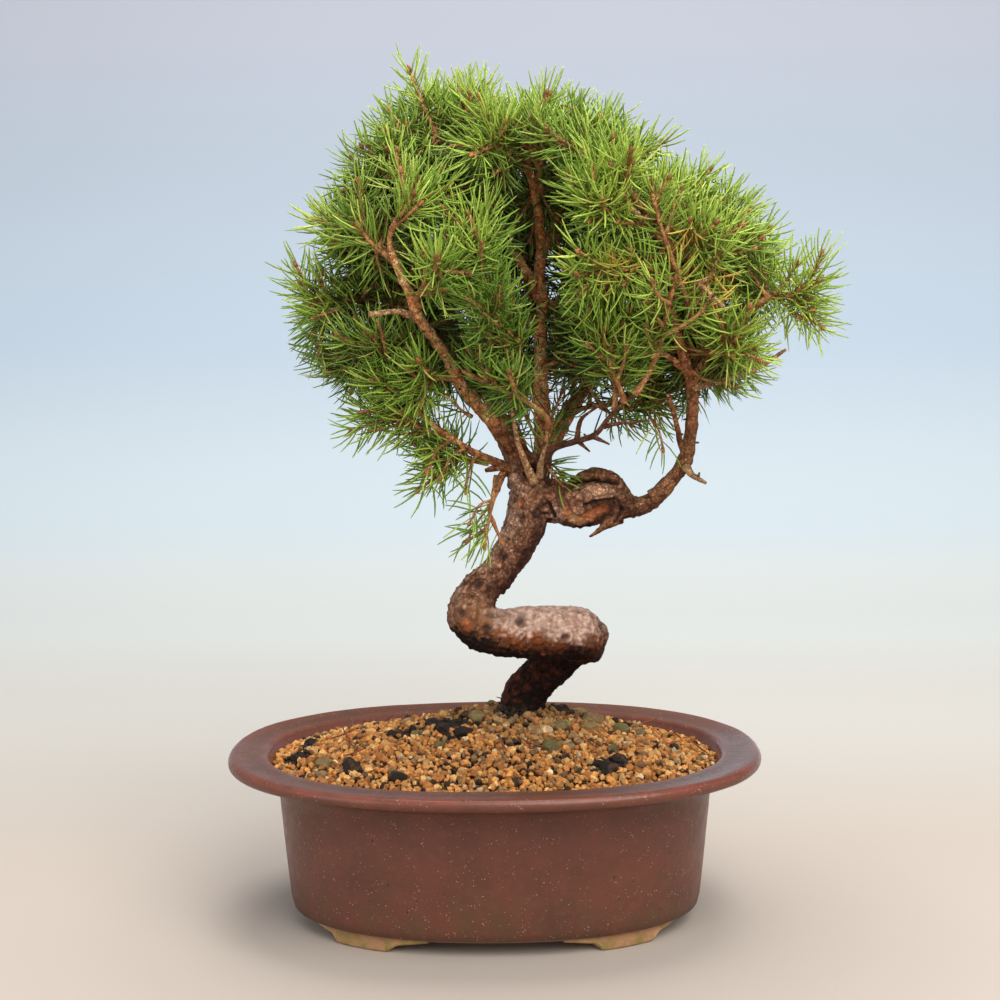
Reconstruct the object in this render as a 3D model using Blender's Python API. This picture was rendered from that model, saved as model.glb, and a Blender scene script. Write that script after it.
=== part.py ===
"""A spruce bonsai in its oval glazed pot, as separate closed solids.

Lengths in this script are millimetres in a frame whose origin is on the ground below the pot's centre, with +X to
the right and -Y to the front. They become metres when a mesh is made, and PLACE then moves the whole object.
"""
import math

import bmesh
import bpy
import numpy as np
from mathutils import Matrix, Vector

MM = 0.001
GAP = 0.35
SEED = 7

# Where the pot's centre stands, so that the origin is below the middle of the whole object
PLACE = (-15.0, 0.4, 0.0)

# Pot: the oval at its neck, just under the lip, and outlines given as distances out from that oval and heights
NECK_HALF_LENGTH = 104.5
NECK_HALF_WIDTH = 70.5
OVAL_POWER = 2.25
OVAL_SIDES = 30
FOOT_HEIGHT = 7.0
FLOOR_TOP = 13.5
RIM_EDGE_RADIUS = 3.1
RIM_EDGE = (21.2, 80.2)
INNER_EDGE_RADIUS = 2.9
INNER_EDGE = (8.0, 79.6)
OUTER_WALL = [(-8.0, FOOT_HEIGHT), (-5.4, 8.6), (-4.4, 12.5), (-3.4, 22.0), (-1.8, 38.0), (-0.5, 54.0), (0.4, 64.0),
              (2.6, 69.6), (8.0, 73.6), (16.0, 76.7)]
LIP_TOP = [(14.0, 82.4)]
INNER_WALL = [(1.0, 75.5), (-3.8, 69.5), (-6.2, 60.0), (-9.4, 22.0), (-12.0, 16.0), (-16.0, FLOOR_TOP)]
DRAIN_RADIUS = 9.0
DRAIN_SIDES = 12
DRAIN_X = 42.0
FOOT_ANGLE = 51.5
FOOT_HALF_SPAN = 22.0
FOOT_DEPTH = 13.0
FOOT_SINK = 2.0
FOOT_OUTER = -8.0
FOOT_STEPS = [(-1.0, 5.8), (-0.56, 3.8), (-0.45, 0.0), (0.42, 0.0), (0.56, 3.4), (1.0, 5.8)]

# Drain screens
SCREEN_SIZE = 30.0
SCREEN_THICKNESS = 1.4
SCREEN_HOLES = 2
SCREEN_PITCH = 11.0
SCREEN_HOLE_SIZE = 7.0

# Soil
SOIL_EDGE_HEIGHT = 77.5
SOIL_EDGE_OUT = 2.2
SOIL_SIDE_GAP = 0.5
SOIL_RINGS = 5
MOUND_HEIGHT = 14.5
MOUND_OUT = 3.0
TRUNK_MOUND_HEIGHT = 7.0
TRUNK_MOUND_SPREAD = 27.0
RELIEF_HEIGHT = 0.8
RELIEF_WAVE = 1.7
STONE_SHAPE = (1.2, 0.9, 0.75)
STONE_LIFT = 0.8

# Stones and lumps that stand out of the gravel: x, y, half size and whether it is a dark lump
STONES = [
    (26, -31, 5.4, False), (33, -8, 5.0, False), (46, -5, 4.6, False), (48, 12, 5.6, False), (62, 4, 5.0, False),
    (-9, 2, 5.0, False), (19, -17, 4.4, False), (-81, -29, 4.4, False), (-67, -38, 5.8, True), (-44, -54, 4.6, True),
    (-23, -9, 5.6, True), (-15, -16, 4.4, True), (52, -46, 6.0, True), (58, -37, 4.6, True),
]
ROOT_HOLE_TOP = 140.0
ROOT_HOLE_SIDES = 20
POCKET_DEPTH = 10.0

# Wood
ROOT_X = 13.0
ROOT_Y = 20.0
ROOT_RADIUS = 14.0
ROOT_BOTTOM = 62.0
ROOT_TOP = 97.0
TRUNK_STEP = 8.0
LIMB_STEP = 12.0
ROOT_SIDES = 20
SIDES_ABOVE_RADIUS = [(11.0, 12), (8.5, 8), (2.1, 6), (0.0, 4)]

# Centre lines of the wood, each point x, y, z and radius. A limb's first point lies inside the wood that bears it.
LIMBS = {
    "trunk": [
        (13, 20, 88, 12.2), (14.7, 20, 102, 11.4), (18.3, 19, 108.8, 10.6), (24.5, 17, 115.8, 10.6),
        (33.5, 13, 126.2, 11.2), (40.2, 8, 132.6, 12.0), (42.8, 1, 137, 12.3), (34.8, -6, 139.9, 12.4),
        (24.6, -10, 140.9, 12.3), (12.6, -13, 141.9, 11.9), (-0.3, -16, 143, 11.4), (-9.5, -17, 150, 11.4),
        (-8, -14.5, 159.2, 10.4), (-3.9, -12, 164.5, 9.3), (2, -10, 169.5, 8.7), (8.1, -7, 177.7, 9.1),
        (12, -5, 184.1, 9.6), (15.4, -3, 192, 10.3), (17.9, -1, 201.4, 10.4), (19.2, 0, 209.1, 10.0),
        (20, 1, 216, 7.6),
    ],
    "gnarl": [
        (19, 0, 207, 9.8), (29, -3, 203, 9.6), (39, -5, 200.5, 10.0), (50, -4, 201.5, 9.2), (59, -1, 201.5, 7.4),
        (66, 0, 200.2, 5.4), (73, 1, 201.4, 4.5), (80, 1, 206.2, 4.0), (87.5, 1, 214.5, 3.6), (92.5, -1, 224, 3.4),
        (94.7, -4, 237.2, 3.0), (94.8, -7, 248.8, 2.9), (93.8, -11, 259.4, 2.9), (89.8, -17, 270.8, 2.4),
        (85.5, -24, 284, 2.2), (82.5, -31, 298, 2.0), (82.8, -37, 311, 1.9), (82.5, -41, 320.5, 1.8),
        (75, -46, 331, 1.6), (64.3, -54, 343.2, 1.4),
    ],
    "gnarl_arch": [
        (31, 5, 203, 5.0), (40, 9, 209, 5.0), (51, 9, 212, 4.9), (58, 6, 210.5, 5.0), (62, 3, 206, 4.8),
        (66, 1, 201, 4.6),
    ],
    "gnarl_roll": [
        (34, -8, 203, 5.0), (43, -10, 205.5, 5.6), (52, -9, 206, 5.6), (60, -5, 204, 5.0), (65, -1, 201, 4.5),
    ],
    "stub": [(61, -4, 196, 4.2), (54, -8, 192, 2.9), (46, -11, 187, 1.2)],
    "left_limb": [
        (15.1, -1, 212.6, 8.2), (11.3, -4, 223.5, 5.4), (6.1, -8, 233.4, 4.3), (-0.9, -14, 243.3, 3.6),
        (-10.1, -20, 254, 3.0), (-16.4, -26, 265.5, 2.6), (-21.6, -31, 274.8, 2.4), (-27.7, -38, 284.1, 2.3),
        (-33.5, -45, 295, 2.2), (-36.8, -49, 304.7, 2.0), (-40, -53, 312.6, 1.8), (-43.6, -57, 320.9, 1.6),
    ],
    "leader": [
        (20.9, 3, 214, 7.0), (24.5, 8, 227, 4.9), (24.2, 13, 251, 3.8), (23.9, 15, 273, 3.3), (24, 14, 294.5, 3.0),
        (23.5, 9, 317.3, 2.6), (22.9, 2, 334.5, 2.3), (20.5, -6, 350.3, 2.0), (16.7, -14, 362.5, 1.8),
    ],
    "right_tier": [(94.5, -11, 260, 2.4), (99.5, -14, 270, 1.9), (107, -18.5, 281, 1.7), (123.6, -26, 297, 1.4)],
    "bare_twig": [(94.7, -11, 257.9, 2.0), (106.9, -15, 260.4, 1.4), (123.9, -20, 266.5, 1.1), (136.1, -24, 275.3, 0.8)],
    "dark_branch": [(20.8, -3, 218.5, 4.4), (26.4, -9, 227.6, 2.8), (33.8, -15, 231.8, 2.2), (46.4, -26, 236.3, 2.1),
                    (54, -33, 245, 1.7), (65.4, -42, 257.3, 1.3)],
    "dark_stub_a": [(40.1, -20, 234, 1.5), (45.5, -25, 229.3, 0.8)],
    "dark_stub_b": [(46.8, -27, 236.4, 1.5), (53.8, -32, 232.6, 0.8)],
    "tan_twig_a": [(19.7, -8, 212.8, 2.7), (14.9, -16, 226.4, 2.0), (11.2, -23, 239.2, 1.6), (8.9, -31, 253.6, 1.4),
                   (5.3, -38, 264, 1.2), (0, -48, 280, 1.0)],
    "tan_twig_b": [(22.1, -8, 215.1, 2.1), (23.9, -16, 228.2, 1.6), (25.5, -26, 240.7, 1.2)],
    "low_left": [(9.3, -4, 218.7, 3.2), (3.6, -10, 222.1, 2.2), (-12.1, -24, 231, 1.7), (-22.4, -34, 239.3, 1.5)],
    "hanging_twig": [(7.4, -3, 218.6, 2.4), (4.1, -8, 215.3, 1.8), (2.1, -12, 209, 1.6)],
    "red_stub": [(6.5, -7, 220.9, 1.8), (-3, -14, 219.3, 1.0)],
    "cut_twig": [(92.1, -2, 219.8, 2.0), (96, -6, 214.9, 1.3), (101.3, -10, 211.9, 0.8)],
    "back_left": [(17, 6, 218, 6.0), (8, 22, 236, 3.8), (-6, 40, 257, 3.0), (-20, 54, 280, 2.5),
                  (-34, 64, 300, 2.0), (-47, 70, 318, 1.6)],
    "back_right": [(25, 10, 225, 4.6), (41, 28, 248, 3.3), (59, 44, 274, 2.7), (78, 56, 299, 2.1),
                   (92, 64, 322, 1.6)],
    "back_top": [(24, 15, 285, 3.2), (19, 30, 307, 2.6), (12, 44, 332, 2.2), (5, 54, 354, 1.9),
                 (-3, 58, 375, 1.6)],
    "left_top": [(24, 13, 299, 2.8), (14, 5, 317, 2.2), (1, 0, 336, 1.9), (-13, -4, 355, 1.6),
                 (-23, -8, 373, 1.4)],
    "right_top": [(24, 8, 323, 2.5), (36, 12, 344, 2.0), (55, 12, 365, 1.6)],
    "right_back": [(82.6, -37, 315.6, 2.0), (95, -12, 324, 1.8), (106, 5, 331, 1.5)],
    "left_back": [(-27.7, -37, 284, 2.2), (-37, -14, 294, 1.9), (-54, 8, 307.4, 1.6), (-71, 20, 321.6, 1.4)],
}

# The share of a limb's length that bears no spray. A limb that isn't here bears none.
BARE_SHARE = {
    "gnarl": 0.62, "left_limb": 0.5, "leader": 0.3, "right_tier": 0.3, "dark_branch": 0.7, "tan_twig_a": 0.7,
    "tan_twig_b": 0.7, "low_left": 0.3, "hanging_twig": 1.0, "back_left": 0.2, "back_right": 0.2, "back_top": 0.2,
    "left_top": 0.25, "right_top": 0.25, "right_back": 0.2, "left_back": 0.2,
}

# Limbs that show from the front, and how far in front of them and beside them no shoot grows
SHOWN_LIMBS = ("left_limb", "leader", "gnarl")
SHOWN_WIDTH = 10.0
SHOWN_DEPTH = 5.0

# Ends of the foliage of each spray that shows from the front and the sides. Its twig ends a needle's reach short of it.
NEEDLE_REACH = 15.5
SPRAY_ENDS = [
    (-102, -15, 300), (-84, -10, 336), (-75, -44, 341), (-67, -15, 364), (-70, -34, 279), (-80, 0, 258),
    (-65, -34, 241), (-45, -48, 253), (-35, -26, 213), (-8, -14, 170), (-53, -12, 380), (-40, -64, 360),
    (-38, 0, 400), (-20, 6, 410), (-2, -50, 385), (13, -32, 394), (26, 8, 403), (40, -48, 381), (52, 4, 390),
    (71, -12, 382), (61, -72, 362), (-16, -72, 343), (-25, -86, 315), (-5, -74, 299), (10, -62, 279),
    (-19, -58, 259), (43, -76, 350), (35, -80, 315), (56, -62, 285), (46, -8, 266), (79, -68, 357),
    (100, -14, 359), (118, 2, 341), (101, -62, 335), (124, -24, 322), (92, -78, 312), (159, -40, 298),
    (148, 6, 312), (126, -44, 278), (118, -3, 257), (92, 4, 240), (70, -42, 270), (62, 34, 322),
    (8, 50, 250), (52, 58, 262), (-34, 46, 262), (-72, 12, 320), (-70, 86, 340), (110, 80, 341), (-13, 69, 402),
    (124, 30, 330),
]

# The rounded masses that the foliage fills: centre, then half sizes. Sprays at the back end on their outside.
LOBES = [
    ((-26, 8, 340), (68, 78, 60)),
    ((28, 8, 346), (60, 84, 56)),
    ((94, 6, 318), (54, 72, 48)),
    ((-48, 10, 282), (52, 62, 42)),
    ((40, 20, 275), (62, 72, 46)),
    ((98, 14, 270), (40, 52, 36)),
]
BACK_SPRAYS = 3
BACK_FROM_Y = 18.0
BACK_LOWEST_SLOPE = -0.55
BACK_TRIALS = 900
LOBE_EDGE = 0.97
CROWN_CENTRE = (24.0, 0.0, 300.0)

# Sprays. The steps are the shares of a main shoot's curve where its solid has a corner.
MAIN_STEPS = (0.0, 0.22, 0.58, 1.0)
PERCH_STEP = 3.0
PERCHES_APART = 6.5
PERCHES_TRIED = 60
BENDS_TRIED = 4
BEND_SHARE = 0.03
SHORTEST_SHOOT = 24.0
SHOOT_HEEL = 4.5
TILT_SHARE = 0.75
SHOOT_BASE_RADIUS = 1.5
SHOOT_TIP_RADIUS = 1.15
SIDE_SHOOT_RADIUS = 1.2
SIDE_SHOOTS = [(0.45, 27.0), (0.72, 22.0)]
SIDE_SHOOT_TURNS = 14
LONG_SIDE_SHOOT_TURNS = 9
SHORT_SIDE_SHOOT = 0.7
HANGING_SIDE_SHOOT = 0.5
HANGING_DROP = 15.0
NEEDLE_LENGTH = 15.0
SIDE_LEAN = 62.0
TIP_LEAN = 22.0
LAST_NEEDLE = 0.985
NEEDLE_ROOT_RADIUS = 0.62
NEEDLES_ON_MAIN = 6
NEEDLES_ON_SIDE = 3
FIRST_ON_MAIN = 0.38
FIRST_ON_SIDE = 0.3
NEEDLE_TURNS = 7
CLEARANCE = 0.7
GOLDEN_ANGLE = math.radians(137.508)

COLOURS = {
    "pot": ((0.150, 0.060, 0.050), 0.35),
    "soil": ((0.420, 0.230, 0.090), 0.95),
    "screen": ((0.030, 0.030, 0.030), 0.6),
    "bark": ((0.230, 0.130, 0.090), 0.85),
    "needles": ((0.160, 0.300, 0.060), 0.6),
}


def clear_scene():
    for item in list(bpy.data.objects):
        bpy.data.objects.remove(item)


def new_collection(name):
    made = bpy.data.collections.new(name)
    bpy.context.scene.collection.children.link(made)
    return made


def material(name):
    made = bpy.data.materials.get(name)
    if made is None:
        colour, roughness = COLOURS[name]
        made = bpy.data.materials.new(name)
        made.use_nodes = True
        shader = made.node_tree.nodes["Principled BSDF"]
        shader.inputs["Base Color"].default_value = (*colour, 1.0)
        shader.inputs["Roughness"].default_value = roughness
        shader.inputs["Metallic"].default_value = 0.0
    return made


def put(mesh, name, collection):
    made = bpy.data.objects.new(name, mesh)
    collection.objects.link(made)
    return made


def from_bmesh(bm, name, collection):
    bmesh.ops.recalc_face_normals(bm, faces=bm.faces)
    mesh = bpy.data.meshes.new(name)
    bm.to_mesh(mesh)
    bm.free()
    return put(mesh, name, collection)


def evaluated_copy(source, name):
    """A new mesh with the source's modifiers applied."""
    graph = bpy.context.evaluated_depsgraph_get()
    mesh = bpy.data.meshes.new_from_object(source.evaluated_get(graph))
    mesh.name = name
    return mesh


def is_closed(mesh):
    """Whether a mesh is a closed body with its faces pointing out."""
    bm = bmesh.new()
    bm.from_mesh(mesh)
    closed = all(edge.is_manifold for edge in bm.edges) and bm.calc_volume(signed=True) > 0.0
    bm.free()
    return closed


def combine(target, others, operation):
    """Joins the others to the target, or cuts them out of it, and removes them."""
    group = bpy.data.collections.new("operands")
    for item in others:
        group.objects.link(item)
    modifier = target.modifiers.new("combine", "BOOLEAN")
    modifier.operation = operation
    modifier.operand_type = "COLLECTION"
    modifier.collection = group
    for solver in ("EXACT", "MANIFOLD"):
        modifier.solver = solver
        mesh = evaluated_copy(target, target.name)
        if is_closed(mesh):
            break
    target.modifiers.clear()
    target.data = mesh
    for item in others:
        bpy.data.objects.remove(item)
    bpy.data.collections.remove(group)


def finish_piece(piece, material_name, sharp_degrees=50.0):
    piece.data.materials.clear()
    piece.data.materials.append(material(material_name))
    piece.data.shade_smooth()
    piece.data.set_sharp_from_angle(angle=math.radians(sharp_degrees))
    return piece


def oval_point(out, angle):
    """A point of the oval that lies the distance out from the pot's neck."""
    c, s = math.cos(angle), math.sin(angle)
    power = 2.0 / OVAL_POWER
    x = (NECK_HALF_LENGTH + out) * math.copysign(abs(c) ** power, c)
    y = (NECK_HALF_WIDTH + out) * math.copysign(abs(s) ** power, s)
    return x, y


def oval_ring(out, height, sides=OVAL_SIDES):
    points = [oval_point(out, math.tau * i / sides) for i in range(sides)]
    return [(x, y, height) for x, y in points]


def arc(centre, radius, first_degrees, last_degrees, steps):
    """Outline points on an arc, first and last included."""
    made = []
    for i in range(steps + 1):
        a = math.radians(first_degrees + (last_degrees - first_degrees) * i / steps)
        made.append((centre[0] + radius * math.cos(a), centre[1] + radius * math.sin(a)))
    return made


def loft(rings, name, collection):
    """One closed body through rings of equal size, with flat ends."""
    bm = bmesh.new()
    rows = [[bm.verts.new(Vector(p) * MM) for p in ring] for ring in rings]
    for low, high in zip(rows, rows[1:]):
        for i in range(len(low)):
            j = (i + 1) % len(low)
            bm.faces.new((low[i], low[j], high[j], high[i]))
    bm.faces.new(rows[0])
    bm.faces.new(rows[-1])
    return from_bmesh(bm, name, collection)


def cylinder(x, y, bottom, top, radius, sides, name, collection):
    bm = bmesh.new()
    place = Matrix.Translation(Vector((x, y, (bottom + top) / 2)) * MM)
    bmesh.ops.create_cone(bm, cap_ends=True, segments=sides, radius1=radius * MM, radius2=radius * MM,
                          depth=(top - bottom) * MM, matrix=place)
    return from_bmesh(bm, name, collection)


def box(centre, size, name, collection):
    bm = bmesh.new()
    bmesh.ops.create_cube(bm, size=1.0)
    bmesh.ops.scale(bm, verts=bm.verts, vec=Vector(size) * MM)
    bmesh.ops.translate(bm, verts=bm.verts, vec=Vector(centre) * MM)
    return from_bmesh(bm, name, collection)


def foot(angle_degrees, name, collection):
    """A bracket foot that follows the oval, with its flat part on the ground and a thin wing at each end."""
    rings = []
    for share, bottom in FOOT_STEPS:
        angle = math.radians(angle_degrees + FOOT_HALF_SPAN * share)
        x0, y0 = oval_point(FOOT_OUTER, angle)
        x1, y1 = oval_point(FOOT_OUTER - FOOT_DEPTH, angle)
        top = FOOT_HEIGHT + FOOT_SINK
        rings.append([(x0, y0, bottom), (x0, y0, top), (x1, y1, top), (x1, y1, bottom)])
    return loft(rings, name, collection)


def make_pot(collection):
    outline = OUTER_WALL + arc(RIM_EDGE, RIM_EDGE_RADIUS, -70.0, 90.0, 4) + LIP_TOP
    outline += arc(INNER_EDGE, INNER_EDGE_RADIUS, 90.0, 170.0, 2) + INNER_WALL
    pot = loft([oval_ring(out, height) for out, height in outline], "pot", collection)
    feet = []
    for turn in (FOOT_ANGLE, 180.0 - FOOT_ANGLE, 180.0 + FOOT_ANGLE, 360.0 - FOOT_ANGLE):
        feet.append(foot(turn, "foot", collection))
    combine(pot, feet, "UNION")
    drains = []
    for x in (-DRAIN_X, DRAIN_X):
        drains.append(cylinder(x, 0.0, 0.0, 2 * FLOOR_TOP, DRAIN_RADIUS, DRAIN_SIDES, "drain", collection))
    combine(pot, drains, "DIFFERENCE")
    return finish_piece(pot, "pot")


def make_screen(name, x, collection):
    """A square mesh plate over a drain hole."""
    middle = FLOOR_TOP + GAP + SCREEN_THICKNESS / 2
    plate = box((x, 0.0, middle), (SCREEN_SIZE, SCREEN_SIZE, SCREEN_THICKNESS), name, collection)
    holes = []
    for i in range(SCREEN_HOLES):
        for j in range(SCREEN_HOLES):
            across = (i - (SCREEN_HOLES - 1) / 2) * SCREEN_PITCH
            along = (j - (SCREEN_HOLES - 1) / 2) * SCREEN_PITCH
            size = (SCREEN_HOLE_SIZE, SCREEN_HOLE_SIZE, 4 * SCREEN_THICKNESS)
            holes.append(box((x + across, along, middle), size, "hole", collection))
    combine(plate, holes, "DIFFERENCE")
    return finish_piece(plate, "screen")


def soil_height(x, y):
    """The mound: a low dome over the whole pot and a steeper one round the trunk."""
    reach = (x / (NECK_HALF_LENGTH + MOUND_OUT)) ** 2 + (y / (NECK_HALF_WIDTH + MOUND_OUT)) ** 2
    dome = MOUND_HEIGHT * max(0.0, 1.0 - reach)
    near = ((x - ROOT_X) ** 2 + (y - ROOT_Y) ** 2) / (2.0 * TRUNK_MOUND_SPREAD ** 2)
    return SOIL_EDGE_HEIGHT + dome + TRUNK_MOUND_HEIGHT * math.exp(-near)


def grain_relief(x, y):
    """Low waves in the top of the gravel."""
    u, v = x / RELIEF_WAVE, y / RELIEF_WAVE
    return RELIEF_HEIGHT * (math.sin(u) * math.sin(v) + math.sin(u / 2 - v) / 2)


def make_soil(collection):
    """Fills the pot, with its top rising in a mound, its large stones and a plain hole for the root stock."""
    lift = FLOOR_TOP + GAP
    side = [(out - SOIL_SIDE_GAP, max(height, lift)) for out, height in reversed(INNER_WALL)]
    side.append((SOIL_EDGE_OUT, SOIL_EDGE_HEIGHT))
    rings = [oval_ring(out, height) for out, height in side]
    for step in range(1, SOIL_RINGS):
        shrink = 1.0 - step / SOIL_RINGS
        ring = []
        for x, y, _ in oval_ring(SOIL_EDGE_OUT, 0.0):
            px, py = x * shrink, y * shrink
            ring.append((px, py, soil_height(px, py) + grain_relief(px, py)))
        rings.append(ring)
    soil = loft(rings, "soil", collection)
    stones = []
    for x, y, half, _ in STONES:
        bm = bmesh.new()
        bmesh.ops.create_icosphere(bm, subdivisions=1, radius=1.0)
        turn = Matrix.Rotation(x + y, 4, "Z")
        shape = Matrix.Diagonal((*(half * share for share in STONE_SHAPE), 1.0))
        place = Matrix.Translation((x, y, soil_height(x, y) + STONE_LIFT))
        bm.transform(Matrix.Scale(MM, 4) @ place @ turn @ shape)
        stones.append(from_bmesh(bm, "stone", collection))
    combine(soil, stones, "UNION")
    cuts = [cylinder(ROOT_X, ROOT_Y, ROOT_BOTTOM - GAP, ROOT_HOLE_TOP, ROOT_RADIUS + GAP, ROOT_HOLE_SIDES,
                     "root_hole", collection)]
    for x in (-DRAIN_X, DRAIN_X):
        size = SCREEN_SIZE + 2 * GAP
        top = FLOOR_TOP + SCREEN_THICKNESS + 2 * GAP
        cuts.append(box((x, 0.0, top - POCKET_DEPTH / 2), (size, size, POCKET_DEPTH), "screen_pocket", collection))
    combine(soil, cuts, "DIFFERENCE")
    return finish_piece(soil, "soil", 70.0)


def smooth_line(points, step):
    """Points, about a step apart, on a smooth curve through the given points, with their radii."""
    p = np.array(points, float)
    p = np.vstack([2 * p[0] - p[1], p, 2 * p[-1] - p[-2]])
    made = []
    for i in range(1, len(p) - 2):
        a, b, c, d = p[i - 1], p[i], p[i + 1], p[i + 2]
        count = max(1, round(float(np.linalg.norm((c - b)[:3])) / step))
        for k in range(count):
            t = k / count
            made.append(0.5 * (2 * b + (c - a) * t + (2 * a - 5 * b + 4 * c - d) * t * t
                               + (3 * b - a - 3 * c + d) * t ** 3))
    made.append(p[-2])
    return np.array(made)


def tube(line, sides, name, collection):
    """A closed tube along points with radii, as a mesh. Sides is 4, 6, 8, 10 or 12."""
    curve = bpy.data.curves.new(name, "CURVE")
    curve.dimensions = "3D"
    curve.bevel_depth = MM
    curve.bevel_resolution = (sides - 4) // 2
    curve.use_fill_caps = True
    spline = curve.splines.new("POLY")
    spline.points.add(len(line) - 1)
    for point, (x, y, z, radius) in zip(spline.points, line):
        point.co = (x * MM, y * MM, z * MM, 1.0)
        point.radius = radius
    rod = put(curve, name, collection)
    mesh = evaluated_copy(rod, name)
    bpy.data.objects.remove(rod)
    bm = bmesh.new()
    bm.from_mesh(mesh)
    bpy.data.meshes.remove(mesh)
    bmesh.ops.remove_doubles(bm, verts=bm.verts, dist=0.00001)
    return from_bmesh(bm, name, collection)


def limb_lines():
    """Each limb's centre line, with the points closer together where the wood is thick and bends hard."""
    made = {}
    for name, points in LIMBS.items():
        made[name] = smooth_line(points, TRUNK_STEP if name == "trunk" else LIMB_STEP)
    return made


def sides_for(line):
    """Fewer sides for a thinner limb."""
    thickest = float(line[:, 3].max())
    return next(sides for radius, sides in SIDES_ABOVE_RADIUS if thickest > radius)


def make_wood(lines, collection):
    wood = cylinder(ROOT_X, ROOT_Y, ROOT_BOTTOM, ROOT_TOP, ROOT_RADIUS, ROOT_SIDES, "wood", collection)
    rods = [tube(line, sides_for(line), name, collection) for name, line in lines.items()]
    combine(wood, rods, "UNION")
    return finish_piece(wood, "bark", 60.0)


class Straights:
    """A growing table of straight pieces of wood, shoot and needle, with the spray that each belongs to."""

    def __init__(self):
        self.start = np.zeros((0, 3))
        self.end = np.zeros((0, 3))
        self.radius = np.zeros(0)
        self.owner = np.zeros(0, int)

    def add(self, points, radii, owner):
        points = np.asarray(points, float)
        self.start = np.vstack([self.start, points[:-1]])
        self.end = np.vstack([self.end, points[1:]])
        self.radius = np.append(self.radius, np.maximum(radii[:-1], radii[1:]))
        self.owner = np.append(self.owner, np.full(len(points) - 1, owner))

    def room(self, a, b, radius, owner):
        """The least free space between one more straight piece and what other sprays and the wood hold."""
        d1 = b - a
        d2 = self.end - self.start
        r = a - self.start
        aa = max(float(d1 @ d1), 1e-9)
        ee = np.maximum((d2 * d2).sum(1), 1e-9)
        f = (d2 * r).sum(1)
        c = r @ d1
        bb = d2 @ d1
        below = aa * ee - bb * bb
        s = np.where(below > 1e-9, np.clip((bb * f - c * ee) / np.maximum(below, 1e-9), 0, 1), 0.0)
        t = np.clip((bb * s + f) / ee, 0, 1)
        s = np.clip((bb * t - c) / aa, 0, 1)
        apart = np.linalg.norm(r + s[:, None] * d1 - t[:, None] * d2, axis=1)
        free = apart - self.radius - radius
        return float(free[self.owner != owner].min())


def unit(v):
    return v / max(float(np.linalg.norm(v)), 1e-9)


def across(direction, angle):
    """A unit vector at right angles to the direction, turned about it by the angle."""
    helper = np.array((0.0, 0.0, 1.0)) if abs(direction[2]) < 0.9 else np.array((1.0, 0.0, 0.0))
    first = unit(np.cross(helper, direction))
    second = np.cross(direction, first)
    return math.cos(angle) * first + math.sin(angle) * second


def twig_tips(draw):
    """The tip of each spray's twig. Those at the back are as far from each other and the others as they can be."""
    found = []
    while len(found) < BACK_TRIALS:
        centre, half = (np.array(v, float) for v in LOBES[draw.integers(len(LOBES))])
        way = unit(draw.normal(size=3))
        point = centre + way * half
        depths = [float(np.sum(((point - np.array(c)) / np.array(h)) ** 2)) for c, h in LOBES]
        if point[1] > BACK_FROM_Y and way[2] > BACK_LOWEST_SLOPE and min(depths) > LOBE_EDGE:
            found.append(point)
    ends = [np.array(t, float) for t in SPRAY_ENDS]
    for _ in range(BACK_SPRAYS):
        gaps = [min(float(np.linalg.norm(p - t)) for t in ends) for p in found]
        ends.append(found[int(np.argmax(gaps))])
    return [end - NEEDLE_REACH * unit(end - np.array(CROWN_CENTRE)) for end in ends]


def hides_limb(points):
    """Whether any of the points lies close in front of a limb that shows from the front."""
    for name in SHOWN_LIMBS:
        limb = smooth_line(LIMBS[name], 6.0)
        for x, y, z in points:
            near = np.hypot(limb[:, 0] - x, limb[:, 2] - z) < SHOWN_WIDTH
            if np.any(near & (limb[:, 1] - SHOWN_DEPTH > y)):
                return True
    return False


def perches(lines):
    """Places on the wood where a spray may start: point, direction of the limb, radius, whether it is the end."""
    made = []
    for name, share in BARE_SHARE.items():
        fine = smooth_line(LIMBS[name], PERCH_STEP)
        first = int(share * len(fine))
        for i in range(first, len(fine) - 2):
            made.append((fine[i][:3], unit(fine[i + 1][:3] - fine[i - 1][:3]), fine[i][3], False))
        made.append((fine[-1][:3], unit(lines[name][-1][:3] - lines[name][-2][:3]), fine[-1][3], True))
    return made


def perch_cost(perch, tip):
    """How unnatural it would be for the spray with that tip to start there. Low is good."""
    point, along, _, is_end = perch
    span = tip - point
    far = float(np.linalg.norm(span))
    way = span / max(far, 1e-9)
    outward = unit(point - np.array(CROWN_CENTRE))
    cost = far + 22.0 * (1.0 - float(way @ along)) + 14.0 * max(0.0, -float(way @ outward))
    if is_end:
        cost += -24.0 if way @ along > 0.5 else 400.0
    if far < SHORTEST_SHOOT:
        cost += 6.0 * (SHORTEST_SHOOT - far)
    return cost


def bezier(a, b, c, d, shares):
    t = np.array(shares)[:, None]
    return (1 - t) ** 3 * a + 3 * (1 - t) ** 2 * t * b + 3 * (1 - t) * t * t * c + t ** 3 * d


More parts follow.
